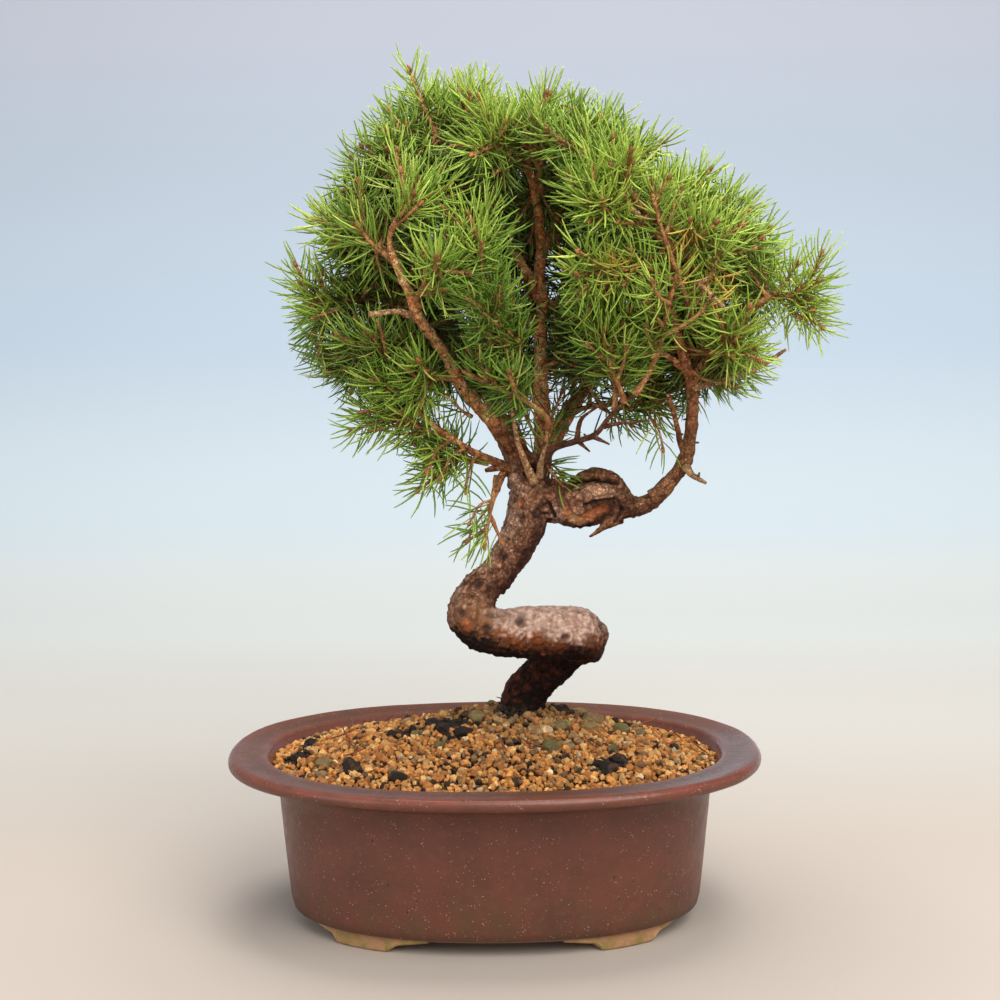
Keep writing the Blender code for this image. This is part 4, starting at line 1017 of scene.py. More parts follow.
def fanned_faces(rings, sides, first, last):
    """Faces between rings of points, and triangles from each end ring to the middle point with the number."""
    ends = [fan_faces(0, sides, first, flip=True), fan_faces((rings - 1) * sides, sides, last)]
    return [grid_faces(rings, sides), np.concatenate(ends)]


def line_frames(points):
    """Directions along a line of points, and two more square to them that don't twist."""
    spans = np.gradient(points, axis=0)
    ahead = spans / np.linalg.norm(spans, axis=1)[:, None]
    first = np.zeros_like(points)
    now = across(ahead[0], 0.0)
    for i, way in enumerate(ahead):
        now = unit(now - (now @ way) * way)
        first[i] = now
    return ahead, first, np.cross(ahead, first)


def line_runs(points):
    """How far along a line of points each of them lies."""
    spans = np.linalg.norm(np.diff(points, axis=0), axis=1)
    return np.concatenate([[0.0], np.cumsum(spans)])


def rod(points, radii, sides, bumps=None):
    """Points and faces of a closed tube. Bumps gives the share to add to the radius at each point."""
    _, first, second = line_frames(points)
    angle = np.arange(sides) * math.tau / sides
    ring = np.cos(angle)[None, :, None] * first[:, None] + np.sin(angle)[None, :, None] * second[:, None]
    radius = np.asarray(radii, float)[:, None] * np.ones(sides)
    skin = points[:, None] + ring * radius[..., None]
    if bumps is not None:
        radius = radius * (1.0 + bumps(skin.reshape(-1, 3)).reshape(radius.shape))
        skin = points[:, None] + ring * radius[..., None]
    count = len(points) * sides
    all_points = np.concatenate([skin.reshape(-1, 3), points[:1], points[-1:]])
    return all_points, fanned_faces(len(points), sides, count, count + 1)


def icosphere(subdivisions):
    """The points and the faces of a ball of triangles with radius 1."""
    bm = bmesh.new()
    bmesh.ops.create_icosphere(bm, subdivisions=subdivisions, radius=1.0)
    points = np.array([tuple(v.co) for v in bm.verts])
    faces = np.array([[v.index for v in face.verts] for face in bm.faces])
    bm.free()
    return points, faces


class Look:
    """A material that is being made: its shader and the nodes that feed it. Sizes are in millimetres."""

    def __init__(self, name, roughness, specular):
        self.made = bpy.data.materials.new(name)
        self.made.use_nodes = True
        self.tree = self.made.node_tree
        self.shader = self.tree.nodes["Principled BSDF"]
        self.shader.inputs["Roughness"].default_value = roughness
        self.shader.inputs["Specular IOR Level"].default_value = specular
        self.place = self.node("ShaderNodeTexCoord").outputs["Object"]

    def feed(self, socket, value):
        """Links the value to the socket, or sets it there where it is plain."""
        if isinstance(value, bpy.types.NodeSocket):
            self.tree.links.new(value, socket)
        else:
            socket.default_value = value

    def node(self, kind, **values):
        """A node with its properties and inputs set by name. An input name's spaces are written as _."""
        made = self.tree.nodes.new(kind)
        for key, value in values.items():
            label = key.replace("_", " ")
            if label in made.inputs:
                self.feed(made.inputs[label], value)
            else:
                setattr(made, key, value)
        return made

    def tint(self, channel="Color"):
        return self.node("ShaderNodeAttribute", attribute_name="tint").outputs[channel]

    def noise(self, size, detail, rough):
        return self.node("ShaderNodeTexNoise", Scale=1.0 / (size * MM), Detail=detail, Roughness=rough,
                         Vector=self.place).outputs["Fac"]

    def cells(self, size, place, feature="F1"):
        return self.node("ShaderNodeTexVoronoi", feature=feature, Scale=1.0 / (size * MM),
                         Vector=place).outputs

    def stretch(self, value, low, high, to_low=0.0, to_high=1.0):
        """Low to high made into another range, smoothly and with ends that hold."""
        return self.node("ShaderNodeMapRange", interpolation_type="SMOOTHSTEP", Value=value, From_Min=low,
                         From_Max=high, To_Min=to_low, To_Max=to_high).outputs["Result"]

    def patches(self, noise, *limits):
        """Soft-edged patches: noise of a size, a detail and a roughness, stretched."""
        return self.stretch(self.noise(*noise), *limits)

    def calculate(self, operation, *values):
        """One operation on the values, from the first to the last."""
        total = values[0]
        for value in values[1:]:
            node = self.node("ShaderNodeMath", operation=operation)
            self.feed(node.inputs[0], total)
            self.feed(node.inputs[1], value)
            total = node.outputs["Value"]
        return total

    def times(self, *values):
        return self.calculate("MULTIPLY", *values)

    def plus(self, *values):
        return self.calculate("ADD", *values)

    def mix(self, share, a, b):
        """A mix of two colours, each of which may be a socket or a plain colour."""
        node = self.node("ShaderNodeMix", data_type="RGBA")
        for label, value in (("Factor_Float", share), ("A_Color", a), ("B_Color", b)):
            if isinstance(value, tuple):
                value = (*value, 1.0)
            self.feed(next(s for s in node.inputs if s.identifier == label), value)
        return next(s for s in node.outputs if s.identifier == "Result_Color")

    def shaded(self, colour, shade):
        node = self.node("ShaderNodeVectorMath", operation="SCALE", Vector=colour, Scale=shade)
        return node.outputs["Vector"]

    def set_colour(self, colour):
        self.feed(self.shader.inputs["Base Color"], colour)

    def set_relief(self, height, distance):
        node = self.node("ShaderNodeBump", Strength=1.0, Distance=distance * MM, Height=height)
        self.feed(self.shader.inputs["Normal"], node.outputs["Normal"])


def mottled_material(name):
    """A skin that shows each point's own tint, lighter and darker in small spots, with a fine relief."""
    roughness, specular, mottle, shades, relief, distance = SKINS[name]
    look = Look(name, roughness, specular)
    look.set_colour(look.shaded(look.tint(), look.patches(mottle, *shades)))
    if distance:
        look.set_relief(look.noise(*relief), distance)
    return look.made


def bark_material():
    """Old bark: the painted tint, broken up into plates and flakes with dark cracks between them.

    The tint's alpha says how strongly the bark shows, so that bare wood stays smooth."""
    look = Look("old_bark", 0.7, 0.2)
    rough = look.tint("Alpha")
    waves = look.node("ShaderNodeTexNoise", Scale=1.0 / (FLAKE_WARP_SIZE * MM), Detail=4.0).outputs["Color"]
    warp = look.node("ShaderNodeVectorMath", operation="MULTIPLY_ADD")
    for socket, value in zip(warp.inputs, (waves, (FLAKE_WARP * MM,) * 3, look.place)):
        look.feed(socket, value)
    place = warp.outputs["Vector"]
    parts = look.node("ShaderNodeSeparateColor", Color=look.cells(FLAKE_SIZE, place)["Color"])
    own = look.stretch(parts.outputs["Red"], 0.0, 1.0, 0.90, 1.10)
    crack = look.stretch(look.cells(FLAKE_SIZE, place, "DISTANCE_TO_EDGE")["Distance"], 0.0, CRACK_WIDTH)
    split = look.stretch(look.cells(PLATE_SIZE, place, "DISTANCE_TO_EDGE")["Distance"], 0.0, SPLIT_WIDTH)
    fine = look.noise(0.6, 6.0, 0.7)
    shade = look.times(own, look.stretch(fine, 0.3, 0.7, 0.72, 1.85),
                       look.stretch(crack, 0.0, 1.0, 0.55, 1.04), look.stretch(split, 0.0, 1.0, 0.35, 1.05))
    shade = look.plus(look.times(look.plus(shade, -1.0), rough), 1.0)
    gold = look.times(look.patches((2.4, 5.0, 0.7), 0.58, 0.68), 0.25, rough)
    colour = look.mix(gold, look.shaded(look.tint(), shade), FLAKE_GOLD)
    pale = look.times(look.patches((0.9, 4.0, 0.7), 0.66, 0.74), 0.3, rough)
    look.set_colour(look.mix(pale, colour, FLAKE_PALE))
    look.feed(look.shader.inputs["Roughness"], look.stretch(rough, 0.0, 0.6, 0.34, 0.74))
    height = look.plus(look.times(crack, 0.5), look.times(fine, 0.8), look.times(own, 0.35),
                       look.times(split, 0.7))
    look.set_relief(look.times(height, rough), 0.65)
    return look.made


def screen_material():
    """Black plastic mesh with a fine moulded grain."""
    look = Look("screen_plastic", 0.6, 0.4)
    grain = look.noise(0.8, 3.0, 0.6)
    look.set_colour(look.mix(grain, *SCREEN_BLACK))
    look.set_relief(grain, 0.1)
    return look.made


def glaze_material():
    """Purple-brown glaze: specks, an olive bloom lower down, thin reddish edges, and bare clay on the feet.

    The tint layer holds masks: red where the glaze runs thin, green for bare clay, blue for the lip's top."""
    look = Look("pot_glaze", 0.35, 0.42)
    masks = look.node("ShaderNodeSeparateColor", Color=look.tint()).outputs
    thin, clay, lip = masks["Red"], masks["Green"], masks["Blue"]
    axes = look.node("ShaderNodeSeparateXYZ", Vector=look.place).outputs
    low = look.stretch(axes["Z"], 0.006, 0.050, 1.0, 0.0)
    body = look.mix(look.patches((24.0, 5.0, 0.6), 0.35, 0.7), *GLAZE_BROWN)
    body = look.mix(look.times(look.patches((4.0, 5.0, 0.7), 0.48, 0.68), 0.5), body, GLAZE_SPOT)
    body = look.mix(look.times(low, look.patches((15.0, 5.0, 0.65), 0.36, 0.66), 0.7), body, GLAZE_OLIVE)
    rim = look.mix(look.patches((14.0, 5.0, 0.65), 0.35, 0.65), *GLAZE_RIM)
    body = look.mix(lip, body, rim)
    run = look.patches((16.0, 6.0, 0.65), 0.36, 0.66, 0.35, 1.0)
    body = look.mix(look.times(thin, run), body, GLAZE_THIN)
    size = look.patches((5.0, 4.0, 0.7), 0.40, 0.66, 0.05, 0.23)
    dots = look.calculate("LESS_THAN", look.cells(SPECK_SPACING, look.place)["Distance"], size)
    body = look.mix(look.times(dots, 0.55), body, GLAZE_SPECK)
    holes = look.calculate("LESS_THAN", look.cells(PIT_SPACING, look.place)["Distance"], PIT_SIZE)
    body = look.mix(look.times(holes, 0.8), body, GLAZE_PIT)
    bare = look.mix(look.patches((7.0, 5.0, 0.6), 0.42, 0.62), *CLAY)
    bare = look.mix(look.times(look.patches((1.4, 5.0, 0.7), 0.56, 0.70), 0.75), bare, CLAY_STAIN)
    look.set_colour(look.mix(clay, body, bare))
    dusty = look.times(look.calculate("MAXIMUM", lip, thin), look.stretch(axes["Y"], 0.0, 0.06), 0.4)
    wiped = look.times(lip, look.stretch(axes["X"], 0.03, 0.10), -0.26)
    matt = look.plus(look.patches((7.0, 5.0, 0.65), 0.35, 0.7, 0.33, 0.44), look.times(low, 0.12),
                     look.times(lip, 0.12), dusty, look.times(thin, -0.12), wiped)
    look.feed(look.shader.inputs["Roughness"], look.calculate("MAXIMUM", matt, look.times(clay, 0.85)))
    relief = look.plus(look.noise(3.0, 4.0, 0.6), look.times(holes, -1.2), look.times(dots, 0.3))
    look.set_relief(relief, 0.22)
    return look.made


def pot_outline():
    """The pot's outline, with finer curves than the part's, and masks for thin glaze and the lip's top."""
    wall = smooth_line([(*point, 0.0, 0.0) for point in OUTER_WALL[2:]], WALL_STEP)[:, :2]
    outer = OUTER_WALL[:2] + [tuple(point) for point in wall]
    edge = arc(RIM_EDGE, RIM_EDGE_RADIUS, -70.0, 90.0, 12)
    dip = [(18.0, 82.95), LIP_TOP, (11.0, 82.3)]
    inner = arc(INNER_EDGE, INNER_EDGE_RADIUS, 90.0, 170.0, 6)
    points = outer + edge + dip + inner + INNER_WALL
    wall_zeros = [0.0] * len(outer)
    inside_zeros = [0.0] * len(INNER_WALL)
    edge_thin = [max(0.0, math.sin(math.pi * (i - 4) / 10)) for i in range(13)]
    inner_thin = [0.25 + 0.55 * math.sin(math.pi * (i + 1) / 8) for i in range(7)]
    thin = wall_zeros + edge_thin + [0.35, 0.1, 0.1] + inner_thin + inside_zeros
    lip = wall_zeros + [0.0] * 5 + [i / 8 for i in range(1, 9)] + [1.0] * 7 + [0.6, 0.3, 0.1] + inside_zeros
    return points, np.array(thin), np.array(lip)


def make_pot():
    """The glazed pot: the part's outlines with many more sides, a little uneven, with its feet and drains."""
    outline, thin, lip = pot_outline()
    rings = np.array([oval_ring(out, height, POT_SIDES) for out, height in outline])
    points = rings.reshape(-1, 3)
    masks = np.zeros((len(points), 3))
    masks[:, 0] = np.repeat(thin, POT_SIDES)
    masks[:, 2] = np.repeat(lip, POT_SIDES)
    shade = glaze_material()
    faces = capped_faces(len(outline), POT_SIDES)
    pot = add_piece("glazed_pot", "glaze", "pot", points, faces, [shade], colours=masks)
    tools = []
    for turn in (FOOT_ANGLE, 180.0 - FOOT_ANGLE, 180.0 + FOOT_ANGLE, 360.0 - FOOT_ANGLE):
        tools.append(("UNION", make_foot(turn, shade)))
    for x in (-DRAIN_X, DRAIN_X):
        tools.append(("DIFFERENCE", make_drain(x, shade)))
    for operation, tool in tools:
        modifier = pot.modifiers.new(operation, "BOOLEAN")
        modifier.operation = operation
        modifier.solver = "EXACT"
        modifier.object = tool
    mesh = apply_modifiers(pot)
    for _, tool in tools:
        bpy.data.objects.remove(tool)
    place = mesh_points(mesh)
    layer = mesh.attributes["tint"]
    rgba = np.zeros(len(mesh.vertices) * 4, np.float32)
    layer.data.foreach_get("color", rgba)
    rgba = rgba.reshape(-1, 4)
    rgba[:, 1] = 1.0 - ramp(place[:, 2], FOOT_HEIGHT - 1.0, FOOT_HEIGHT + 1.2)
    layer.data.foreach_set("color", rgba.ravel())
    uneven = NOISE(place, 38.0) * 0.22 + NOISE(place + 70.0, 14.0) * 0.10
    keep = ramp(place[:, 2], 9.0, 16.0)
    move_points(mesh, place + mesh_normals(mesh) * (uneven * keep)[:, None])
    mesh.set_sharp_from_angle(angle=math.radians(POT_SHARP_DEGREES))


def make_foot(turn, shade):
    """A bracket foot along the oval: a flat part on the ground and a thin wing at each end."""
    shares = np.array([share for share, _ in FOOT_STEPS])
    heights = np.array([height for _, height in FOOT_STEPS])
    top = FOOT_HEIGHT + FOOT_SINK
    back = FOOT_OUTER - FOOT_DEPTH
    rings = []
    for share in np.linspace(-1.0, 1.0, FOOT_FINE_STEPS):
        angle = math.radians(turn + FOOT_HALF_SPAN * share)
        bottom = float(np.interp(share, shares, heights))
        soft = min(FOOT_SOFT, (top - bottom) / 3)
        outline = [(FOOT_OUTER, top), (back, top), (back, bottom + soft), (back + soft, bottom),
                   (FOOT_OUTER - soft, bottom), (FOOT_OUTER, bottom + soft)]
        rings.append([(*oval_point(out, angle), height) for out, height in outline])
    rings = np.array(rings)
    faces = capped_faces(len(rings), rings.shape[1])
    return add_object("foot", rings.reshape(-1, 3), faces, [shade], colours=(0.0, 0.0, 0.0))


def make_drain(x, shade):
    """The post that cuts a drain hole."""
    sides = DRAIN_SIDES * 3
    angle = np.arange(sides) * math.tau / sides
    ring = np.stack([x + DRAIN_RADIUS * np.cos(angle), DRAIN_RADIUS * np.sin(angle)], 1)
    points = np.array([(*point, height) for height in (-5.0, 2 * FLOOR_TOP) for point in ring])
    return add_object("drain", points, capped_faces(2, sides), [shade], colours=(0.0, 0.0, 0.0))


def add_grain(batch, shape, centre, half, colour, draw):
    """One grain, with its own proportions, turn, corners and shade."""
    points, faces = shape
    sizes = half * draw.uniform(0.75, 1.25, 3)
    turned = np.array(Matrix.Rotation(draw.uniform(0.0, math.tau), 3, draw.normal(size=3)))
    skin = points * (1.0 + draw.normal(size=(len(points), 1)) * GRAIN_ROUGHNESS) * sizes
    batch.add(skin @ turned.T + centre, [faces], colour)


def ground(x, y):
    return np.array([soil_height(a, b) for a, b in zip(np.atleast_1d(x), np.atleast_1d(y))])


def is_inside_pot(x, y, out):
    along = abs(x) / (NECK_HALF_LENGTH + out)
    aside = abs(y) / (NECK_HALF_WIDTH + out)
    return along ** OVAL_POWER + aside ** OVAL_POWER < 1.0


def make_bed():
    """The packed earth under the loose gravel, which fills the pot as the part's soil does."""
    lift = FLOOR_TOP + GAP
    side = [(out - SOIL_SIDE_GAP, max(height, lift)) for out, height in reversed(INNER_WALL)]
    side.append((SOIL_EDGE_OUT, SOIL_EDGE_HEIGHT - 1.6))
    rings = [np.array(oval_ring(out, height, BED_SIDES)) for out, height in side]
    edge = np.array(oval_ring(SOIL_EDGE_OUT, 0.0, BED_SIDES))
    for step in range(1, BED_RINGS):
        ring = edge * (1.0 - step / BED_RINGS)
        ring[:, 2] = ground(ring[:, 0], ring[:, 1]) - BED_SINK + NOISE(ring * (1, 1, 0), 3.0) * 0.8
        rings.append(ring)
    points = np.concatenate([*rings, [(0.0, 0.0, float(ground(0.0, 0.0)[0]) - BED_SINK)], [(0.0, 0.0, lift)]])
    count = len(rings) * BED_SIDES
    faces = fanned_faces(len(rings), BED_SIDES, count + 1, count)
    shade = blend(*BED_EARTH, ramp(NOISE(points, 6.0), -0.5, 0.6))
    material = mottled_material("gravel_grain")
    return add_piece("soil_bed", "soil", "soil", points, faces, [material], colours=shade)


def grain_colour(draw, x, y):
    """A grain's colour: mostly orange-tan, duller near the trunk and near black in the dark patches."""
    pick = draw.choice(len(GRAIN_COLOURS), p=GRAIN_SHARES)
    colour = np.array(GRAIN_COLOURS[pick]) * draw.uniform(0.55, 1.15)
    dull = near_trunk(x, y, DULL_SPREAD) * draw.uniform(0.2, 0.9)
    colour = colour * (1.0 - dull) + np.array(DULL_GRAIN) * dull
    for patch_x, patch_y, wide, deep in DARK_PATCHES:
        if math.hypot((x - patch_x) / wide, (y - patch_y) / deep) < draw.uniform(0.5, 1.15):
            colour = np.array(DARK_GRAIN) * draw.uniform(0.7, 1.6)
    return colour


def make_gravel():
    """Loose grains over the bed, the larger stones and the dark crumbly lumps."""
    draw = np.random.default_rng(SEED)
    shape = icosphere(1)
    batches = [Batch(), Batch()]
    shade = mottled_material("gravel_grain")
    rows = int(2 * (NECK_HALF_WIDTH + SOIL_EDGE_OUT) / GRAIN_SPACING) + 2
    columns = int(2 * (NECK_HALF_LENGTH + SOIL_EDGE_OUT) / GRAIN_SPACING) + 2
    for i in range(rows):
        for j in range(columns):
            x = (j - columns / 2 + 0.5 * (i % 2)) * GRAIN_SPACING + draw.normal() * GRAIN_SCATTER
            y = (i - rows / 2) * GRAIN_SPACING + draw.normal() * GRAIN_SCATTER
            half = draw.uniform(*GRAIN_HALF_SIZES)
            if not is_inside_pot(x, y, SOIL_EDGE_OUT + GRAIN_EDGE - half):
                continue
            if math.hypot(x - ROOT_X, y - ROOT_Y) < ROOT_RADIUS - 3.0:
                continue
            z = soil_height(x, y) - 0.4 + draw.uniform(-0.9, 1.1)
            add_grain(batches[0], shape, (x, y, z), half, grain_colour(draw, x, y), draw)
    for _ in range(LOOSE_GRAINS):
        angle, far = draw.uniform(0.0, math.tau), math.sqrt(draw.uniform(0.02, 0.93))
        x, y = (value * far for value in oval_point(SOIL_EDGE_OUT, angle))
        if math.hypot(x - ROOT_X, y - ROOT_Y) > ROOT_RADIUS + 2.0:
            half = draw.uniform(*LOOSE_HALF_SIZES)
            place = (x, y, soil_height(x, y) + 1.2)
            add_grain(batches[1], shape, place, half, grain_colour(draw, x, y), draw)
    for stone in STONES + SMALL_STONES:
        add_stone(batches[1], *stone, draw)
    add_litter(batches[1], draw)
    for name, batch in zip(("gravel", "gravel_top"), batches):
        piece = batch.make(name, "soil", "soil", [shade])
        piece.data.set_sharp_from_angle(angle=math.radians(GRAIN_SHARP_DEGREES))


def add_litter(batch, draw):
    """Dry needles that have fallen on the gravel."""
    angle = draw.uniform(0.0, math.tau, DRY_NEEDLES)
    far = np.sqrt(draw.uniform(0.05, 0.88, DRY_NEEDLES))
    x, y = (np.array([oval_point(SOIL_EDGE_OUT, a)[i] for a in angle]) * far for i in (0, 1))
    turn = draw.uniform(0.0, math.tau, DRY_NEEDLES)
    way = np.stack([np.cos(turn), np.sin(turn), draw.normal(size=DRY_NEEDLES) * 0.05], 1)
    way /= np.linalg.norm(way, axis=1)[:, None]
    base = np.stack([x, y, ground(x, y) + 2.4], 1) - way * 7.0
    rise = np.tile((0.0, 0.0, 1.0), (DRY_NEEDLES, 1)) - way * way[:, 2:]
    length = draw.uniform(*DRY_NEEDLE_LENGTHS, DRY_NEEDLES)
    wide = np.full(DRY_NEEDLES, DRY_NEEDLE_RADIUS)
    points, faces, _ = needle_mesh(base, way, rise, length, wide, turn, FINE_NEEDLE)
    batch.add(points, faces, DRY_NEEDLE_COLOUR)


def add_stone(batch, x, y, half, is_dark, draw):
    """A stone with a broken, grainy skin, or a lump of dark earth held together by fine grains."""
    points, faces = icosphere(4 if half > BIG_STONE else 3)
    shift = draw.uniform(0.0, 500.0, 3)
    flat = np.array(draw.normal(size=(STONE_FACETS, 3)))
    flat /= np.linalg.norm(flat, axis=1)[:, None]
    facing = points @ flat.T
    cut = np.min(np.where(facing > 0.55, 0.74 / np.maximum(facing, 0.55), 1.6), axis=1)
    skin = points * np.minimum(cut, 1.0)[:, None]
    rough = NOISE.layers(skin * half + shift, 2.4, 3) * (0.13 if is_dark else 0.06)
    skin = skin * (1.0 + rough)[:, None] * half * np.array(STONE_SHAPE)
    turned = np.array(Matrix.Rotation(x + y, 3, "Z"))
    skin = skin @ turned.T + (x, y, soil_height(x, y) + STONE_LIFT)
    spots = ramp(NOISE.layers(skin + shift, 3.0, 3), 0.1, 0.6)
    if is_dark:
        colour = blend(*LUMP_COLOURS, spots)
    else:
        base = STONE_COLOURS[int(abs(x * 7 + y * 3)) % len(STONE_COLOURS)]
        if (x, y) == PALE_STONE_AT:
            base = PALE_STONE
        colour = blend(base, np.array(base) * 1.5, spots)
        moss = ramp(skin[:, 2] - soil_height(x, y), 0.5, half * 0.9)
        moss = moss * ramp(NOISE(skin + shift, 4.0), -0.2, 0.4)
        colour = blend(colour, STONE_MOSS, moss * near_trunk(x, y, MOSS_SPREAD))
    batch.add(skin, [faces], colour)


def bark_displacement(points, around, radius, twisted):
    """How far the bark stands out: lumps, flakes, cracks, and deep strands where the wood is twisted.

    Returns that and how much of a crease each point is in."""
    size = np.minimum(radius / 8.0, 1.0)
    lumps = NOISE(points, 15.0) * 0.8 + NOISE(points + 90.0, 7.0) * 0.55
    plates = NOISE(around * (0.7, 1.0, 1.0) + 33.0, 2.9)
    cracks = np.exp(-(plates / 0.11) ** 2)
    flakes = NOISE.layers(points + 11.0, 1.6, 2)
    strands = NOISE(around * (0.22, 1.0, 1.0) + 55.0, 3.4)
    creases = np.exp(-(strands / 0.10) ** 2)
    out = size * (lumps + 0.5 * plates - 0.45 * cracks) + (0.18 + 0.34 * size) * flakes
    return out + twisted * (1.1 * strands - 1.1 * creases), np.maximum(0.5 * cracks, 0.8 * twisted * creases)


def bark_colour(points, facing, radius, run, creases):
    """The bark's colours by where a point of the wood lies and which way it faces.

    The lying trunk is pinkish on top, golden rust below that and near black underneath, as is the leg.
    The wood above it is brown, and reddish where it is thin. Faces turned to the left get painted light
    and faces turned right and down get painted shade. The near black underneath is partly painted shade,
    the leg's top has a painted shadow of the lying trunk, the thin limbs and the leader get painted light
    in the crown, and the creases get painted shade."""
    x, _, z = points.T
    right, _, up = facing.T
    broad = NOISE.layers(points + 41.0, 9.0, 3)
    fine = NOISE.layers(points + 87.0, 2.0, 3)
    colour = blend(*BARK_BROWN, ramp(0.7 * broad + 0.9 * fine, -1.1, 1.1))
    colour = blend(colour, BARK_GOLD, 0.45 * ramp(NOISE.layers(points + 140.0, 7.0, 2), 0.15, 0.7))
    # Painted light on faces turned to the left and painted shade on faces turned right and down
    lit = ramp(-right * 0.8 + 0.35 * broad + 0.25 * fine, 0.15, 0.85)
    colour = blend(colour, BARK_LIT, 0.85 * lit)
    gnarled = ramp(x + 5.0 * broad, 12.0, 30.0) * ramp(z + 5.0 * broad, 182.0, 204.0)
    shaded = ramp(right * 0.8 - up * 0.5 + 0.25 * broad + 0.15 * fine, -0.05, 0.60) * (1.0 - 0.6 * gnarled)
    colour = blend(colour, blend(*BARK_SHADED, ramp(fine, -0.5, 0.9)), 0.9 * shaded)
    lying = ramp(run, *LYING_FROM) * (1.0 - ramp(run, *LYING_TO))
    bend = 1.0 - ramp(x, -10.0, 14.0)
    # Rust colour, darker on faces turned down: partly painted shade
    rust = blend(*BARK_RUST, ramp(0.8 * fine + 0.4 * broad - 1.9 * (up + 0.38), -0.7, 0.8))
    rust = rust * (1.0 + bend[:, None] * BEND_TINT)
    colour = blend(colour, rust, lying)
    top = up + 0.20 * broad + 0.24 * fine - 0.45 * bend
    pale = blend(*BARK_PALE, ramp(fine + 0.4 * broad, -0.9, 0.8))
    colour = blend(colour, pale, lying * ramp(top, -0.26, 0.24) * (1.0 - 0.35 * bend))
    # Near black underneath the lying trunk and its bend: partly the bark's own colour, partly painted shade
    colour = blend(colour, UNDER_TRUNK, lying * ramp(-up + 0.15 * fine, 0.50, 0.82))
    colour = blend(colour, UNDER_BEND, lying * bend * ramp(-up + 0.2 * fine, 0.10, 0.45))
    leg = 1.0 - ramp(run, *LEG_TO)
    # The leg is darker on faces turned right, as painted shade, and darker at its top under the lying trunk,
    # as a painted shadow
    dark = blend(*BARK_LEG, ramp(fine + 0.4 * broad - 0.9 * right, -0.1, 1.4))
    colour = blend(colour, dark * (1.0 - 0.5 * ramp(z, 112.0, 126.0))[..., None], leg)
    thin = 1.0 - ramp(radius, 3.6, 6.5)
    # Thin limbs: lighter on faces turned up and higher in the crown, as painted light
    mottle_and_top_light = ramp(fine + 0.5 * up, -0.8, 0.9)
    reddish = blend(blend(*LIMB_LOW, mottle_and_top_light) * 0.7, blend(*LIMB_HIGH, mottle_and_top_light), ramp(z, 222.0, 250.0))
    colour = blend(colour, reddish, thin * ramp(z, 150.0, 215.0) * 0.9)
    # Painted light on the wood high up to the left, the left limb among it, and on the leader, in the crown's
    # shade; the wood right of x 58 mm below z 254 mm is darker
    high = ramp(z, 218.0, 232.0)
    dimmed = 0.30 * ramp(x, 58.0, 66.0) * (1.0 - ramp(z, 254.0, 272.0))
    painted_light_left = 0.85 * high * ramp(-x, -6.0, 4.0)
    colour = np.minimum(colour * (1.0 - dimmed + painted_light_left)[..., None], BRIGHTEST)
    leader = high * ramp(x, 10.0, 14.0) * (1.0 - ramp(x, 30.0, 34.0))
    colour = blend(colour, np.minimum(colour * LEADER_PAINTED_LIGHT, BRIGHTEST), leader)
    moss = (1.0 - ramp(z, 94.0, 104.0)) * ramp(NOISE(points, 5.0), -0.1, 0.5)
    colour = blend(colour, BARK_MOSS, 0.6 * moss)
    # Painted shade in the creases
    return blend(colour, CREASE_SHADE, 0.8 * creases)


def wood_place(points, lines, names):
    """Where each point of the skin lies on the wood.

    Returns how far along its limb it is, a flat map of the skin, the limb's radius there and its twist."""
    every = np.concatenate(lines)
    parts = [line_frames(line[:, :3]) for line in lines]
    ahead, first, second = (np.concatenate([part[i] for part in parts]) for i in range(3))
    runs = np.concatenate([line_runs(line[:, :3]) for line in lines])
    limb = np.concatenate([np.full(len(line), i) for i, line in enumerate(lines)])
    twists = np.array([TWISTED.get(name, 0.0) for name in names])
    count = len(points)
    run, turn, radius, owner = np.zeros(count), np.zeros(count), np.zeros(count), np.zeros(count, int)
    for start in range(0, count, POINTS_AT_ONCE):
        some = slice(start, start + POINTS_AT_ONCE)
        apart = np.linalg.norm(points[some][:, None] - every[None, :, :3], axis=2) - every[None, :, 3]
        near = np.argmin(apart, axis=1)
        span = points[some] - every[near, :3]
        run[some] = runs[near] + np.sum(span * ahead[near], axis=1)
        turn[some] = np.arctan2(np.sum(span * second[near], axis=1), np.sum(span * first[near], axis=1))
        radius[some] = every[near, 3]
        owner[some] = limb[near]
    twisted = twists[owner]
    turn = turn + twisted * STRAND_TWIST * run
    around = np.stack([run + 200.0 * owner, np.cos(turn) * radius, np.sin(turn) * radius], 1)
    run = np.where(np.array(names)[owner] == "trunk", run, BESIDE_TRUNK)
    return run, around, radius, twisted


def thick_points(line, limit):
    """How many of a line's first points come before it stays thinner than the limit."""
    return int(np.sum(np.maximum.accumulate(line[::-1, 3])[::-1] > limit))


def thick_lines():
    """The centre lines of the wood that is joined into one skin, each cut off where it grows thin."""
    lines, names = [], []
    for name, points in LIMBS.items():
        line = smooth_line(points, 2.5)
        keep = len(line) if name in ALWAYS_THICK else thick_points(line, THICK_RADIUS)
        if name == "stub":
            line[:, 3] *= np.linspace(1.0, 0.35, len(line))
        if keep > 3:
            lines.append(line[:keep])
            names.append(name)
    return lines, names


